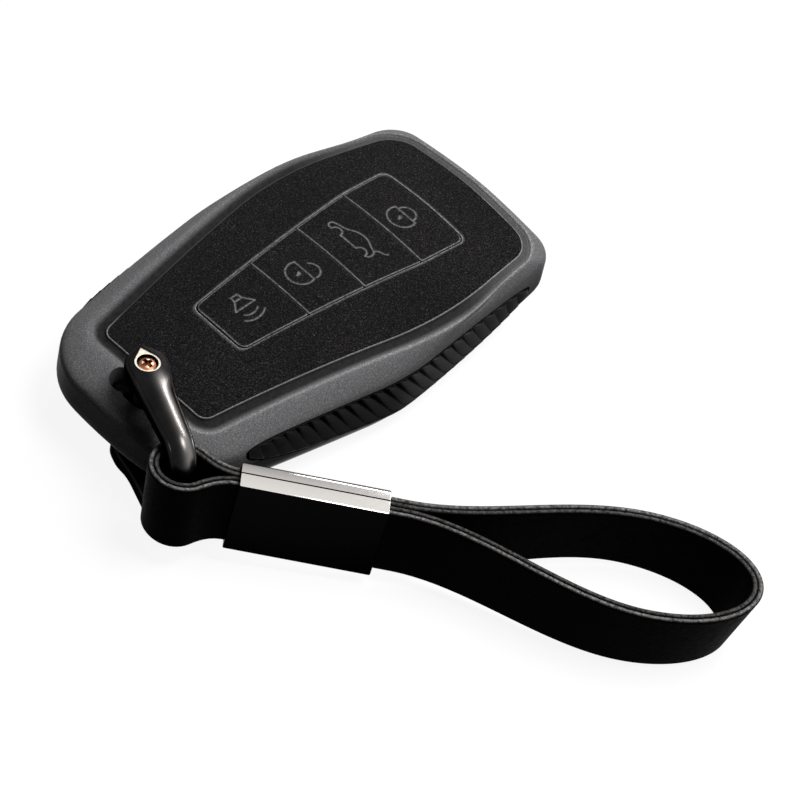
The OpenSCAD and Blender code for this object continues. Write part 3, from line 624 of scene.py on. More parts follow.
def clamp_painted_light():
    """Satin chrome of the clamp's narrow faces, a lit copy of its metal; painted shade darkens it towards the
    rounded rear edge.
    """
    s = paint("clamp_painted_light", Metallic=1.0)
    brushed = s.noise(5.0, stretch=BRUSHED)
    plating = s.ramp(s.attribute("wear_and_painted_light"), (0.0, (0.76, 0.73, 0.7)), (0.3, (0.54, 0.515, 0.495)),
                     (0.5, (0.38, 0.36, 0.35)), (0.75, (0.15, 0.142, 0.137)), (1.0, (0.02, 0.019, 0.018)))
    colour = s.mix(s.ramp(brushed, (0.3, 0.0), (0.7, 0.1)), plating, (0.3, 0.285, 0.275))
    return s.finish(colour, s.vary(0.13, 0.16, 1.0), (brushed, 0.0005))


def plastic(name, low, high, rough):
    s = paint(name)
    return s.finish(s.vary(low, high, 3.0), s.vary(rough, rough + 0.12, 0.6), (s.noise(4.5, 2.0), 0.01))


def flock():
    s = paint("lining", Sheen_Weight=0.3)
    fibre = s.noise(4.0, 4.0, 0.7)
    return s.finish(s.ramp(fibre, (0.35, 0.014), (0.7, 0.06)), 0.95, (fibre, 0.05))


SHELL = shell_metal()
REAR = rear_metal()
SUEDE = suede()
GRIP = gloss_black()
GUNMETAL = gunmetal()
BRASS = brass("brass", (0.6, 0.44, 0.3), (0.86, 0.72, 0.55), 0.2)
COPPER = brass("brass_slots", (0.16, 0.055, 0.028), (0.3, 0.12, 0.06), 0.35)
# light cream metal used as a painted reflection round the screw
PAINTED_REFLECTION_METAL = brass("painted_reflection_metal", (0.72, 0.64, 0.52), (0.9, 0.82, 0.7), 0.22)
LEATHER = leather("leather", (0.0008, 0.0008, 0.001), (0.002, 0.002, 0.0022), 0.42)
LINING_LEATHER = leather("leather_lining", (0.0012, 0.001, 0.0009), (0.0026, 0.0021, 0.0018), 0.5)
# shaded copy of the clamp's metal: near black, painted shade
CLAMP_PAINTED_SHADE = clamp_metal("clamp_painted_shade", (0.0018, 0.0018, 0.0019), (0.0032, 0.0032, 0.0034), 0.14,
                         (0.42, 0.42, 0.42))
CLAMP_PAINTED_LIGHT = clamp_painted_light()
STEEL = clamp_metal("screw_steel", (0.05, 0.05, 0.052), (0.1, 0.1, 0.102), 0.35)
PLASTIC = plastic("inner_plastic", (0.13, 0.135, 0.14), (0.19, 0.195, 0.2), 0.5)
RUBBER = plastic("membrane_rubber", (0.16, 0.17, 0.18), (0.22, 0.23, 0.24), 0.65)
FLOCK = flock()


# Shells
# (out, up) on the rim's slope: a shoulder over the side wall, a nearly flat facet, then the crest
RIM_SLOPE = [(1.0, 0.0), (1.0, 0.24), (0.92, 0.52), (0.5, 0.82), (0.14, 1.0), (0.0, 1.0)]
# from the crest down into the valley, then up to the lip beside the suede
VALLEY = [(0.95, CREST_RISE), (0.88, 0.27), (0.74, -0.02), (0.5, -0.34), (0.28, -0.4), (0.13, -0.34)]
LIP = [(0.1, 0.02), (0.08, 0.06), (0.03, 0.06), (0.0, 0.02)]


def body_solid(name):
    """Both shells together, with the pockets of both panels."""
    outer, crest, panel = fob_outline("shell"), crest_outline(), fob_outline("panel")
    rear_panel, rear_crest = fob_outline("rear"), fob_outline("rear", REAR_CREST_BAND)
    crest_z, low_z = face_z(*crest.T) + CREST_RISE, rear_z(*rear_crest.T)
    upper_z = crest_z + (low_z - crest_z) * UPPER_ROLL
    lower_z = low_z + (crest_z - low_z) * LOWER_ROLL
    rings = [on_rear(shrunk(rear_panel, share), REAR_PANEL_T) for share in np.linspace(0.1, 1, 10)]
    rings.append(on_rear(rear_panel, 0.0))
    for angle in turns(0, 90, 13):
        place = rear_crest + (outer - rear_crest) * sin(angle)
        rings.append(raised(place, low_z + (lower_z - low_z) * (1 - cos(angle))))
    rings += [raised(outer, lower_z + (upper_z - lower_z) * share) for share in (0.3, 0.65)]
    rings += [raised(crest + (outer - crest) * out, upper_z + (crest_z - upper_z) * up)
              for out, up in cut_corners(RIM_SLOPE)]
    flatter = 1 - 0.85 * wide_side(panel[:, 1])
    inner = [(out, up if up > 0 else up * flatter) for out, up in cut_corners(VALLEY)] + LIP
    rings += [on_face(panel + (crest - panel) * out, up) for out, up in inner]
    rings += [on_face(shrunk(panel, share), -FRONT_PANEL_T) for share in np.linspace(1, 0.1, 10)]
    solid = stack(rings, hub(rear_z, rear_panel, REAR_PANEL_T), hub(face_z, panel, -FRONT_PANEL_T))
    return new_object(name, *solid)


def cavity_cutter():
    edge = fob_outline("cavity")
    shares = np.linspace(0.1, 1, 8)
    low, high = REAR_PANEL_T + WEB, -FRONT_PANEL_T - WEB
    rings = [on_rear(shrunk(edge, share), low) for share in shares]
    rings += [on_face(shrunk(edge, share), high) for share in shares[::-1]]
    return new_object("cutter", *stack(rings, hub(rear_z, edge, low), hub(face_z, edge, high)))


def cut_grip_pockets(obj):
    for side in (1, -1):
        boolean(obj, grip_cutter(side))


def cut_under_seam(obj, drop, start_y, how="DIFFERENCE"):
    """Cuts with the space under the tilted parting plane, from start_y on."""
    far = 2 * HALF_LEN
    corners = np.array([(-far, start_y), (far, start_y), (far, far), (-far, far)])
    cut(obj, corners, -far, seam_at(corners[:, 1]) - drop, how)


def swell(y, power):
    along = (y - GRIP_Y[0]) / (GRIP_Y[1] - GRIP_Y[0])
    return np.sqrt(np.maximum(0, 1 - np.abs(2 * along - 1) ** power))


def grip_top(y):
    return GRIP_Z - GRIP_SLOPE * y + GRIP_UP * swell(y, 4)


def grip_low(y):
    return GRIP_Z - GRIP_SLOPE * y - GRIP_DOWN * swell(y, 2)


def side_x(y):
    low = (WAIST_HALF - NARROW_HALF) / (WAIST_Y + HALF_LEN)
    high = (WAIST_HALF - WIDE_HALF) / (HALF_LEN - WAIST_Y)
    mean, off = (low + high) / 2, y - WAIST_Y
    return WAIST_HALF - (high - low) / 2 * off - mean * np.sqrt(off * off + (WAIST_CUT / mean) ** 2)


def grip_cutter(side):
    shares = np.linspace(0, 1, 60)
    y = GRIP_Y[0] + (GRIP_Y[1] - GRIP_Y[0]) * (1 - np.cos(pi * shares)) / 2
    ends = y + RUN_GAP * (2 * shares - 1)
    lens = np.concatenate([np.c_[ends, grip_low(y) - RUN_GAP], np.c_[ends, grip_top(y) + RUN_GAP][::-1]])
    vertices, faces = prism(lens, side * GRIP_DEPTH, side * (GRIP_DEPTH + WAIST_HALF))
    obj = new_object("cutter", vertices[:, [2, 0, 1]], faces)
    smooth(obj)
    return obj


def finish_rim(obj):
    """Scuffed crest and lip with a painted highlight, most on the near side; the darker cove; painted shade
    down the walls.
    """
    crest, panel = crest_outline(), fob_outline("panel")
    x, y, z = (read_vectors(obj.data.vertices, "co") / MM).T
    flat, depth, wide = np.c_[x, y], face_z(x, y) - z, wide_side(y)
    to_crest, to_panel = edge_distance(flat, crest), edge_distance(flat, panel)
    # the near (+x) side gets the most painted highlight on the crest and lip
    painted_highlight_side = rise(x, -4.0, 12.0)
    ridge = np.exp(-(to_crest / 0.26) ** 2) * (depth < 1.5)
    lip = np.exp(-((to_panel - 0.16) / 0.1) ** 2) * (depth < 0.0)
    lip_share = 0.15 + 0.85 * np.maximum(painted_highlight_side, rise(-y, 30.0, 6.0))
    # scuffed crest and lip, with a painted highlight over them
    set_point_float(obj, np.maximum(ridge * (0.03 + 0.62 * np.maximum(painted_highlight_side, 0.4 * wide)), lip * lip_share))
    cove_and_painted_wall_shade = inside(flat, crest) & ~inside(flat, fob_outline("panel", -FIT)) & (depth < 1.5)
    cove_and_painted_wall_shade = cove_and_painted_wall_shade * (1 - 0.4 * wide) * (1 - rise(to_panel / (to_panel + to_crest), 0.5, 0.45))
    # painted shade: the side walls darken with depth under the crest
    set_point_float(obj, np.maximum(cove_and_painted_wall_shade, PAINTED_WALL_SHADE * rise(depth, SHADE_START, SHADE_RUN)), "cove_and_painted_wall_shade")


def front_shell():
    obj = body_solid("shell_front")
    over, recess = SHELL_THICK + OVER, face_z(0, -SLOT_Y) - RECESS_SINK
    cut_under_seam(obj, 0, -LUG_GAP_Y)
    boolean(obj, cavity_cutter())
    cut(obj, fob_outline("cavity", FIT), -OVER, seam_at(-HALF_LEN))
    cut(obj, fob_outline("keys", KEYS_ROOM, 10, 2), SHELL_THICK / 2, 1.5 * SHELL_THICK)
    cut_grip_pockets(obj)
    cut(obj, capsule(SLOT_RIGHT - SLOT_R, SLOT_HALF, -SLOT_Y, SLOT_R), -OVER, over)
    cut(obj, capsule(-SLOT_HALF, SLOT_RIGHT, -SLOT_Y, SLOT_R), recess, over)
    cut(obj, disc(PIN, hypot(EAR_TIP, EAR_TIP_W / 2) + 2 * RUN_GAP), -OVER, ARM_T + RUN_GAP)
    smooth(obj, 38)
    dress(obj, "front_cover", SHELL, "front_shell")
    finish_rim(obj)


def slot_lug():
    """Sunk bar with a rounded top in the left half of the slot."""
    top = face_z(0, -SLOT_Y)
    foot, x0 = top - RECESS_SINK - OVER, -SLOT_HALF + SLOT_R - LUG_R
    rings = [raised(capsule(x0, x0 + 2 * LUG_REACH, -SLOT_Y, LUG_R), foot)]
    for angle in turns(0, 80, 9):
        inset = LUG_R * (1 - cos(angle)) * 0.8
        rings.append(raised(capsule(x0 + inset, x0 + 2 * LUG_REACH - inset, -SLOT_Y, LUG_R - inset),
                            top - LUG_SINK - LUG_ROUND + LUG_ROUND * sin(angle)))
    x = x0 + LUG_REACH
    obj = new_object("slot_lug", *stack(rings, (x, -SLOT_Y, foot), (x, -SLOT_Y, top - LUG_SINK)))
    smooth(obj, 40)
    dress(obj, "front_cover", REAR)


def rear_shell():
    """The lower shell, with a snap tab at each end of the cavity."""
    obj = body_solid("shell_rear")
    cut_under_seam(obj, SEAM_GAP, RUN_GAP - LUG_GAP_Y, "INTERSECT")
    boolean(obj, cavity_cutter())
    cut_grip_pockets(obj)
    for y in (RUN_GAP - CAVITY_NARROW_Y, HALF_LEN - WALL - RUN_GAP - 1.0):
        foot = min(seam_at(y), rear_z(0, y) + REAR_PANEL_T + WEB) - 1.0
        tab = block((-4.0, y, foot), (4.0, y + 1.0, seam_at(y) + 1.6))
        boolean(obj, new_object("cutter", *tab), "UNION")
    smooth(obj, 38)
    dress(obj, "rear_cover", REAR, "rear_shell")


front_shell()
slot_lug()
rear_shell()


# Side grips
def side_grip(side, name):
    """A smooth pad with slanted grooves between its ribs."""
    per_rib, rows = 12, 22
    columns = RIBS * per_rib + 1
    c = np.linspace(0.004, 0.996, columns)[None, :]
    r = (1 - np.cos(pi * np.linspace(0, 1, rows)))[:, None] / 2
    y0 = GRIP_Y[0] + (GRIP_Y[1] - GRIP_Y[0]) * c
    middle = (grip_low(y0) + grip_top(y0)) / 2
    z0 = grip_low(y0) + (grip_top(y0) - grip_low(y0)) * r
    y = y0 - tan(radians(RIB_SLANT)) * (z0 - middle) * swell(y0, 2)
    z = grip_low(y) + (grip_top(y) - grip_low(y)) * r
    # each rib drops steeply and rises slowly again, deepest near the top
    groove = (1 - (np.arange(columns) % per_rib / per_rib)[None, :]) ** 1.6
    reach = np.clip((1 - np.abs(2 * r - 1) ** 5) * 1.6, 0, 1) * (0.3 + 0.7 * ease(r))
    height = -GRIP_INSET + RIB_H * (1 - 1.15 * groove * reach * swell(y0, 6))
    border = np.minimum(1, np.minimum(r, 1 - r) / 0.05) ** 0.5
    front = np.stack([side * (side_x(y) + height - 0.25 * (1 - border)), y, z], -1).reshape(-1, 3)
    back = np.stack([side * (side_x(y) - WALL + FIT), y, z], -1).reshape(-1, 3)
    count, rim, faces = rows * columns, grid_rim(rows, columns), grid_faces(rows, columns)
    faces += [tuple(count + v for v in reversed(face)) for face in faces]
    faces += band_faces(rim, [count + v for v in rim])
    obj = new_object("grip_" + name, np.concatenate([front, back]), faces)
    smooth(obj, 50)
    dress(obj, "front_cover", GRIP, name + "_side_grip")


side_grip(1, "right")
side_grip(-1, "left")


# Suede panels
def front_panel():
    """A hoop round the keys; a row is (place, drop, wear)."""
    outer, inner = fob_outline("panel", -PANEL_SHRINK), fob_outline("keys", KEY_SPLIT / 2)
    width = np.linalg.norm(inner - outer, axis=1)[:, None]
    unit = (inner - outer) / width
    r = SUEDE_EDGE_R
    roll = [(r * (1 - sin(a)), -r * (1 - cos(a)), sin(a)) for a in turns(0, 90, 5)]
    rows = [(outer + unit * inset, drop, 0.0) for inset, drop, _ in reversed(roll)]
    rows += [(outer + unit * (r + (width - 2.5 * r) * share), 0.0, 0.0)
             for share in np.linspace(0, 1, 26)[1:-1]]
    rows.append((inner - unit * 0.26, 0.0, 0.35))
    rows += [(inner - unit * inset, drop, 1.0 - 0.5 * turned) for inset, drop, turned in roll]
    rows += [(edge, FIT - FRONT_PANEL_T, 0.0) for edge in (inner, outer)]
    rings = [on_face(place, drop) for place, drop, _ in rows]
    faces = ring_faces(len(rings), len(inner), closed=True)
    obj = new_object("suede_front", np.concatenate(rings), faces)
    set_point_float(obj, np.repeat([scuff_and_highlight for _, _, scuff_and_highlight in rows], len(inner)))
    smooth(obj, 60)
    dress(obj, "front_cover", SUEDE, "front_suede_panel")


def rear_panel():
    edge, thick = fob_outline("rear", -PANEL_SHRINK), REAR_PANEL_T - FIT
    rings = [on_rear(shrunk(edge, share), 0.0) for share in np.linspace(0.05, 0.985, 22)]
    rings += [on_rear(shrunk(edge, 0.996), 0.06), on_rear(edge, 0.22), on_rear(edge, thick)]
    rings += [on_rear(shrunk(edge, share), thick) for share in np.linspace(0.9, 0.1, 6)]
    for ring in rings:
        ring[:, 2] = np.maximum(ring[:, 2], 0.0)
    vertices, faces = stack(rings, (0, middle_y(edge), 0), hub(rear_z, edge, thick))
    obj = new_object("suede_rear", vertices, faces)
    set_point_float(obj, np.zeros(len(vertices)))
    smooth(obj, 60)
    dress(obj, "rear_cover", SUEDE, "rear_suede_panel")


# Icons: lists of strokes, in millimetres round the key's middle
def padlock(is_open):
    y = -1.0 if is_open else -0.9
    ring = circle_arc(0.75, y + 1.8, 1.85, -8, 150) if is_open else circle_arc(0.0, y + 1.25, 1.85, 0, 180)
    return [circle_arc(0, y, 2.75, 158, 382), [(-2.55, y + 1.03), (2.55, y + 1.03)], ring,
            [(-0.3, y - 0.15), (0.15, y - 0.15), (0.15, y - 0.95)], [(-0.3, y - 0.15), (-0.05, y - 0.6)]]


def car():
    """A coupe's side with its nose to the left and its boot lid raised."""
    roof = cut_corners([(-5.6, -0.6), (-5.7, 0.25), (-4.3, 0.75), (-2.6, 0.95), (-0.9, 2.35), (1.6, 2.45),
                        (3.2, 1.5), (4.3, 1.2)])
    tail = cut_corners([(4.3, 1.2), (4.9, 0.3), (4.75, -0.6), (4.2, -0.95)], 2)
    arches = [circle_arc(x, -1.0, 1.15, 0, 180, 12) for x in (3.0, -3.3)]
    sill = np.concatenate([tail[-1:], *arches, [(-5.2, -1.0), roof[0]]])
    lid = cut_corners([(4.3, 1.2), (4.7, 2.0), (5.9, 2.3), (6.3, 2.9)], 2)
    return [roof, tail, sill, lid]


def horn():
    half = [(-3.3, 0.75), (-2.2, 0.85), (-0.3, 2.3)]
    bell, mouth = half + mirrored(half) + half[:1], half[1:2] + mirrored(half[1:2])
    return [bell, mouth, circle_arc(-0.9, 0, 2.6, -38, 38, 10), circle_arc(-0.9, 0, 3.9, -38, 38, 12)]


def keys_half(y):
    return np.interp(y, (KEYS_Y, KEYS_SPLIT_Y, KEYS_Y + sum(KEY_LENS)), KEYS_HALVES)


def key_piece(name, index, strokes, off):
    """A suede key with its icon pressed into a fine grid, and rolled edges."""
    low = KEYS_Y + sum(KEY_LENS[:index]) + KEY_SPLIT / 2
    high = KEYS_Y + sum(KEY_LENS[:index + 1]) - KEY_SPLIT / 2
    edge = SUEDE_EDGE_R
    rows, columns = int((high - low) / KEY_STEP), int(2 * keys_half(high) / KEY_STEP)
    v = low + edge + (high - low - 2 * edge) * np.linspace(0, 1, rows)
    half = keys_half(v) - KEY_SPLIT / 2 - edge
    low_r, high_r = (KEYS_R if index == last else KEY_INNER_R for last in (0, 3))
    for near, radius in ((v - low - edge, low_r - edge), (high - edge - v, high_r - edge)):
        gone = np.clip(radius - near, 0, radius)
        half = half - (radius - np.sqrt(np.maximum(radius ** 2 - gone ** 2, 0)))
    x, y = half[:, None] * np.linspace(-1, 1, columns)[None, :], np.repeat(v, columns)
    flat = np.c_[x.ravel(), y]
    middle = np.array([0.0, (low + high) / 2]) + np.array(off)
    near = np.min([stroke_distance(flat, stroke + middle) for stroke in strokes], axis=0)
    pressed = np.exp(-(near / LINE_W) ** 2)
    top = np.c_[flat, face_z(*flat.T) - LINE_DEPTH * pressed]
    sides = np.exp(-(np.maximum(half[:, None] - np.abs(x), 0).ravel() / 0.1) ** 2)
    joins = np.exp(-(np.maximum(y - v[0], 0) / 0.16) ** 2)
    # pale pressed lines and scuffed edges; the extra paleness of the +x side's edges is a painted highlight
    wear_and_painted_light = np.maximum(0.75 * pressed, np.maximum(0.7 * joins, sides * np.where(flat[:, 0] < 0, 0.6, 0.9)))
    faces, previous = grid_faces(rows, columns), grid_rim(rows, columns)
    rim, size = top[previous][:, :2], len(previous)
    following = np.roll(rim, -3, 0) - np.roll(rim, 3, 0)
    outward = np.c_[following[:, 1], -following[:, 0]]
    outward /= np.maximum(np.linalg.norm(outward, axis=1), 1e-9)[:, None]
    vertices, shades, count = [top], [wear_and_painted_light], len(top)
    levels = [(edge * sin(a), -edge * (1 - cos(a)), 0.4 - 0.2 * a) for a in turns(30, 90, 3)]
    for out, drop, shade in levels + [(edge, -CAP_T, 0.0)]:
        vertices.append(raised(rim + outward * out, face_z(*rim.T) + drop))
        shades.append(np.full(size, shade))
        now = range(count, count + size)
        faces += band_faces(previous, now)
        previous, count = now, count + size
    vertices.append(on_face(rim.mean(0)[None, :], -CAP_T))
    shades.append(np.zeros(1))
    faces += [(previous[(k + 1) % size], previous[k], count) for k in range(size)]
    obj = new_object("key_" + name, np.concatenate(vertices), faces)
    set_point_float(obj, np.concatenate(shades))
    smooth(obj, 60)
    dress(obj, name + "_key", SUEDE, name + "_button")


front_panel()
rear_panel()
key_piece("alarm", 0, horn(), (-0.3, -0.2))
key_piece("unlock", 1, padlock(True), (-0.3, 0.2))
key_piece("trunk", 2, car(), (-0.6, -0.3))
key_piece("lock", 3, padlock(False), (0.1, 0.3))


# Shackle and screw, drawn along +X from the screw
def shackle_stations():
    """Along the bar, from the upper ear's tip to the lower one's: x, z, turn and width."""
    bow_r = BOW_IN_R + ARM_T / 2
    top, low, straight = SHACKLE_H - ARM_T / 2, ARM_T / 2, BOW_REACH - bow_r
    # width along one arm: a pointed ear, its shoulders, then a long taper to the bow
    ear = cut_corners([(-EAR_TIP, 0.7), (-2.5, EAR_W - 1.6), (-1.2, EAR_W + 0.3), (2.4, EAR_W),
                       (5.0, ARM_W + 0.5), (TAPER_START, ARM_W)], 2)
    upper = [(x, top, 0.0, width) for x, width in ear]
    for x in np.linspace(TAPER_START, straight, 8)[1:]:
        share = (x - TAPER_START) / (straight - TAPER_START)
        upper.append((x, top, 0.0, ARM_W + (BOW_W - ARM_W) * share * 0.7))
    end_w = upper[-1][3]
    for a in turns(0, 90, 13)[1:]:
        upper.append((straight + bow_r * sin(a), top - bow_r * (1 - cos(a)), a,
                      end_w + (BOW_W - end_w) * a / (pi / 2)))
    return upper + [(x, low + (top - z), pi - a, width) for x, z, a, width in reversed(upper)]


# over the bar's lip: shares of its width outwards and of its depth down
LIP_CURVE = ((0.1, 0.06), (0.28, 0.04), (0.52, 0.07), (0.78, 0.17), (0.94, 0.34))


def shackle_section(width, roundness, arch):
    """Across the bar: (side, height) points, a crown between two fine grooves and narrow lips."""
    h, t = width / 2, ARM_T / 2
    lip = min(0.6, width / 7)
    c, fine = h - lip, lip / 0.6
    sag = c * roundness
    crown = [(c * u, t + arch - sag * u * u) for u in np.linspace(1, -1, 13)]
    left = [(-c - out * lip, t - sag - down * fine) for out, down in LIP_CURVE]
    left += [(-h, t - sag - 0.55 * fine), (-h, 0.55 - t), (-h + 0.16, 0.16 - t), (0.5 - h, -t)]
    return crown + left + [(-x, z) for x, z in reversed(left)]


def shackle_piece():
    rings = []
    for x, z, a, width in shackle_stations():
        roundness = 0.08 + 0.4 * float(rise(x, 1.5, 6.0))
        arch = ARCH * max(0.0, 1 - ((x - 7.0) / 11.0) ** 2) if a < pi / 4 else 0.0
        rings.append(np.array([(x + v * sin(a), u, z + v * cos(a))
                               for u, v in shackle_section(width, roundness, arch)]))
    obj = new_object("shackle_bow_piece", *stack(rings, rings[0].mean(0), rings[-1].mean(0)))
    smooth(obj, 30)
    # pocket round the screw, drawn out towards the ear's tip; its up-facing floor gets a light metal as a
    # painted reflection
    pocket = np.concatenate([circle_arc(0, 0, POCKET_R, -POCKET_TURN, POCKET_TURN, 40), [(-POCKET_TIP, 0.0)]])
    over, floor = SHACKLE_H + OVER, SHACKLE_H - POCKET_SINK
    cut(obj, disc((0, 0), SCREW_R + 0.05), -OVER, over)
    cut(obj, disc((0, 0), HEAD_R + HEAD_FIT), SHACKLE_H - HEAD_T - HEAD_SINK, over)
    cut(obj, pocket, floor, over)
    smooth(obj, 30)
    middles = read_vectors(obj.data.polygons, "center") / MM
    upward = read_vectors(obj.data.polygons, "normal")[:, 2] > 0.5
    painted_reflection_faces = inside(middles, pocket) & (middles[:, 2] > floor - 0.02) & upward
    x, y, z = (read_vectors(obj.data.vertices, "co") / MM).T
    # painted highlight: a band along the upper arm's crown, off its middle towards +y
    set_point_float(obj, rise(x, 0.5, 6.0) * rise(z, SHACKLE_H - 6.0, 4.0) * np.exp(-((y - 0.95) / 1.0) ** 2))
    obj.data.transform(SHACKLE_PLACE)
    dress(obj, "shackle_bow", GUNMETAL, "shackle")
    more_materials(obj, [PAINTED_REFLECTION_METAL], painted_reflection_faces)


def screw_piece():
    """Domed cross-head screw with its shank."""
    top = SHACKLE_H - HEAD_SINK
    neck = top - HEAD_T + 0.2
    profile = [(SCREW_R - 0.2, 0.5), (SCREW_R, 0.7), (SCREW_R, neck), (HEAD_R, neck)]
    profile += [(HEAD_R * cos(a), top - HEAD_DOME + HEAD_DOME * sin(a)) for a in turns(0, 84, 12)]
    rings = [raised(disc((0, 0), r, 48), z) for r, z in profile]
    obj = new_object("screw", *stack(rings, (0, 0, 0.5), (0, 0, top)))
    for turn in (0, 90):
        vertices, faces = block((-1.4, -0.38, top - 0.95), (1.4, 0.38, top + OVER))
        vertices[vertices[:, 2] < top, 0] *= 0.55
        blade = new_object("cutter", vertices, faces)
        blade.data.transform(spin(turn + SLOTS_TURN, "Z"))
        boolean(obj, blade)
    smooth(obj, 35)
    x, y, z = (read_vectors(obj.data.polygons, "center") / MM).T
    slots = (np.hypot(x, y) < 1.45) & (z < top - 0.12) & (z > top - 1.1)
    obj.data.transform(SHACKLE_PLACE)
    dress(obj, "shackle_bow", BRASS, "shackle_screw")
    more_materials(obj, [COPPER, STEEL], np.where(z < SHACKLE_H - ARM_T, 2, slots))


shackle_piece()
screw_piece()


# Wrist strap, drawn along +X from the bow of the shackle
NECK = SMALL_LOOP_R + STRAP_T / 2
LEG = STRAP_T / 2
CLAMP_END = CLAMP_START + CLAMP_LEN
CLAMP_MID = CLAMP_START + CLAMP_LEN / 2
LOOP_START = CLAMP_END + LEG_RUN
LOOP_WIDE_X = LOOP_START + (STRAP_REACH - LOOP_START) * LOOP_SHARE
# across a cut edge: share of the way, height share, and paleness, partly a painted highlight at the crest
EDGE_SHARES = ((0.0, 0.0, 0.0), (0.1, 0.55, 0.05), (0.24, 0.86, 0.4), (0.38, 0.98, 0.9), (0.5, 1.0, 1.0),
               (0.62, 0.98, 0.9), (0.76, 0.86, 0.6), (0.9, 0.55, 0.15), (1.0, 0.0, 0.0))
FACE_ROWS = (0.8, 2.5, 5.0, 7.5, 10.0, 12.5, 14.2)


def to_tip(x):
    return rise(x, CLAMP_END, STRAP_REACH - CLAMP_END)


def strap_path():
    """Middle of the leather in plan, once round from the clamp's middle."""
    turn = radians(NECK_TURN)
    x, y = -NECK * cos(turn), NECK * sin(turn)
    a, b, c, d = np.array([(x, y), (x + NECK_HOLD * sin(turn), y + NECK_HOLD * cos(turn)),
                           (CLAMP_START - NECK_HOLD, LEG), (CLAMP_START, LEG)])
    neck = [tuple(a * (1 - t) ** 3 + b * 3 * t * (1 - t) ** 2 + c * 3 * t * t * (1 - t) + d * t ** 3)
            for t in np.linspace(1, 0, 18)[1:-1]]
    side = [(LOOP_START + (LOOP_WIDE_X - LOOP_START) * t, -(LEG + (LOOP_HALF - LEG) * ease(t)))
            for t in np.linspace(0, 1, 48)[1:]]
    reach = STRAP_REACH - STRAP_T / 2 - LOOP_WIDE_X
    path = [(x, LEG) for x in np.linspace(CLAMP_MID - PLY_BUTT, CLAMP_START, 8)] + neck
    path += [(-NECK * cos(a), NECK * sin(a)) for a in turns(NECK_TURN, -NECK_TURN, 60)]
    path += mirrored(neck) + [(x, -LEG) for x in np.linspace(CLAMP_START, LOOP_START, 14)] + side
    path += [(LOOP_WIDE_X + reach * sin(a), -LOOP_HALF * cos(a)) for a in turns(0, 180, 73)[1:]]
    path += mirrored(side)[1:] + [(x, LEG) for x in np.linspace(LOOP_START, CLAMP_MID + PLY_BUTT, 20)]
    path = np.array(path)
    path[:, 1] -= LOOP_DRIFT * to_tip(path[:, 0])
    return path


def ply_section(near, far):
    """Round-edged strip: rows of offset, height and wear."""
    points = []
    for z, way, start, stop in ((0.0, -1, near, far), (STRAP_W, 1, far, near)):
        points += [(start + (stop - start) * across, z - way * PLY_LIP * (1 - share), scuff_and_highlight)
                   for across, share, scuff_and_highlight in EDGE_SHARES]
        points += [(stop, row, 0.0) for row in FACE_ROWS[::-way]]
    return np.array(points)


def lean(x, heights):
    """How far points lie off their upright place: the loops lean as they hang."""
    share = 2 * heights / STRAP_W - 1
    wide = rise(x, CLAMP_END, LOOP_WIDE_X - CLAMP_END)
    bow = rise(-x, -CLAMP_START, CLAMP_START + NECK)
    return np.c_[(TIP_LEAN * to_tip(x) - BOW_LEAN * bow) * share, -LOOP_LEAN * wide * share]


def ply(name, near, far, scuff_and_highlight, material, node):
    path = strap_path()
    tangent = np.gradient(path, axis=0)
    tangent /= np.linalg.norm(tangent, axis=1)[:, None]
    offsets, heights, wear_and_painted_light = ply_section(near, far).T
    rings = [raised(p + np.array([along[1], -along[0]]) * offsets[:, None] + lean(p[0], heights), heights)
             for p, along in zip(path, tangent)]
    obj = new_object(name, *tube(rings))
    set_point_float(obj, np.tile(wear_and_painted_light * scuff_and_highlight, len(rings)))
    smooth(obj, 50)
    obj.data.transform(STRAP_PLACE)
    dress(obj, "wrist_strap", material, node)


def clamp_half(name, side, top_r, upright):
    """Channel with rounded outer corners, with painted light and shade: its narrow faces get a lit copy of
    the metal, the rest a shaded copy.
    """
    depth = STRAP_T + CLAMP_FIT + CLAMP_WALL
    low, high = -CLAMP_WALL - CLAMP_FIT, STRAP_W + CLAMP_WALL + CLAMP_FIT
    seam, floor, r = SEAM_HALF, depth - CLAMP_WALL, CLAMP_LOW_R
    outer = np.concatenate([[(seam, low + SEAM_CUT), (seam + SEAM_CUT, low)],
                            circle_arc(depth - r, low + r, r, -90, 0, 7),
                            circle_arc(depth - top_r, high - top_r, top_r, 0, 90, 10),
                            [(seam + SEAM_CUT, high), (seam, high - SEAM_CUT)]])
    inner = [(y, z - copysign(CLAMP_WALL, z))
             for y, z in ((seam, high), (floor, high), (floor, low), (seam, low))]
    ring = np.concatenate([outer, inner]) * (side, 1)
    outside = np.arange(len(ring)) < len(outer)
    wide = outside & (np.abs(ring[:, 0]) > 0.5)
    rings = []
    for x, inset in ((CLAMP_START, 0.22), (CLAMP_START + 0.07, 0.06), (CLAMP_START + 0.22, 0.0),
                     (CLAMP_END - 0.22, 0.0), (CLAMP_END - 0.07, 0.06), (CLAMP_END, 0.22)):
        shape = ring.copy()
        shape[outside, 1] -= np.sign(shape[outside, 1] - STRAP_W / 2) * inset * 0.8
        shape[wide, 0] -= side * inset * 0.8
        rings.append(np.c_[np.full(len(ring), x), shape])
    obj = new_object(name, *tube(rings))
    across = np.abs(ring[:, 0]) / depth
    # painted shade: the rear half darkens towards its rear edge, the front half stays light
    set_point_float(obj, np.tile(0.3 + 0.7 * across ** 2 if side > 0 else 0.15 * (1 - across), len(rings)))
    smooth(obj, 40)
    bright = np.abs(read_vectors(obj.data.polygons, "normal")[:, 2]) > upright
    obj.data.transform(STRAP_PLACE)
    dress(obj, "wrist_strap", CLAMP_PAINTED_SHADE, name + "_half")
    more_materials(obj, [CLAMP_PAINTED_LIGHT], bright)


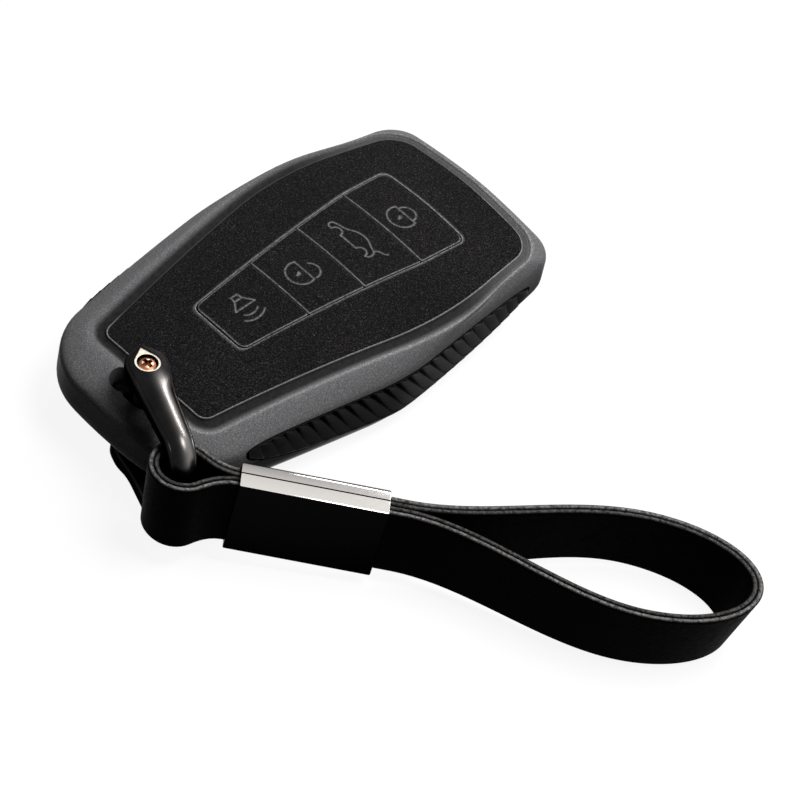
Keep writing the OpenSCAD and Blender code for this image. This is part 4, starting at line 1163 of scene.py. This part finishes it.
ply("strap_outer", 0.0, PLY_T, 1.0, LEATHER, "strap_outer_ply")
ply("strap_inner", -PLY_T, -0.02, 0.45, LINING_LEATHER, "strap_inner_ply")
clamp_half("clamp_front", -1, CLAMP_FRONT_R, 0.75)
clamp_half("clamp_rear", 1, CLAMP_REAR_R, 0.85)


# Frame parts that stay as they are get their finish
CARRIED = {
    "front_backing_plate": PLASTIC, "button_membrane": RUBBER, "front_liner": FLOCK, "rear_liner": FLOCK,
    "clamp_screws": STEEL, **{key + "_plunger": PLASTIC for key in ("lock", "trunk", "unlock", "alarm")},
}
for carried_node, finish in CARRIED.items():
    coat(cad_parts[carried_node], finish)


# Floor, world and lamps
FLOOR_HALF, FLOOR_Z = 3000.0, -0.02
FLOOR_BOUNCE, FLOOR_WHITE, FLOOR_GLOW, GLOW_STRENGTH = 0.02, 0.93, 0.86, 1.05
WORLD_LEVEL = 0.02


def seen_white(s):
    """1 for rays from the camera, from gloss and through glass, else 0."""
    path = s.node("LightPath").outputs
    either = s.maths("MAXIMUM", path["Is Camera Ray"], path["Is Glossy Ray"])
    return s.maths("MAXIMUM", either, path["Is Transmission Ray"])


def add_floor():
    corners = [(x * FLOOR_HALF, y * FLOOR_HALF, FLOOR_Z) for x, y in ((-1, -1), (1, -1), (1, 1), (-1, 1))]
    obj = new_object("floor", corners, [(0, 1, 2, 3)])
    s = paint("floor", Roughness=0.9, Specular_IOR_Level=0.0)
    seen = seen_white(s)
    s.set(Base_Color=s.mix(seen, (FLOOR_BOUNCE,) * 3, (FLOOR_WHITE,) * 3))
    # most of the white comes from a glow, so that the shadow stays faint
    glow = s.node("Emission", {"Strength": GLOW_STRENGTH}).outputs["Emission"]
    share = s.maths("MULTIPLY", seen, FLOOR_GLOW)
    both = s.node("MixShader", {0: share, 1: s.surface.outputs["BSDF"], 2: glow})
    s.feed(s.nodes["Material Output"].inputs["Surface"], both.outputs["Shader"])
    obj.data.materials.append(s.owner)


def add_world():
    world = bpy.data.worlds.new("studio")
    bpy.context.scene.world = world
    s = Shader(world, "Background", Color=(1.0, 1.0, 1.0))
    strength = s.node("MapRange", {"To Min": WORLD_LEVEL, "To Max": 1.0, "Value": seen_white(s)})
    s.set(Strength=strength.outputs["Result"])


def add_lamp(name, place, target, size, power):
    data = bpy.data.lights.new(name, "AREA")
    data.shape = "RECTANGLE"
    data.size, data.size_y = size[0] * MM, size[1] * MM
    data.energy = power
    turn = (Vector(target) - Vector(place)).to_track_quat("-Z", "Y").to_matrix().to_4x4()
    add_object(name, data).matrix_world = shift(*place) @ turn


add_floor()
add_world()
add_lamp("back_softbox", (-190, 590, 390), (0, -20, 15), (420, 90), 2.8)
add_lamp("top_softbox", (200, 140, 660), (0, 0, 10), (320, 320), 4.5)

bpy.context.scene.view_settings.view_transform = "Standard"
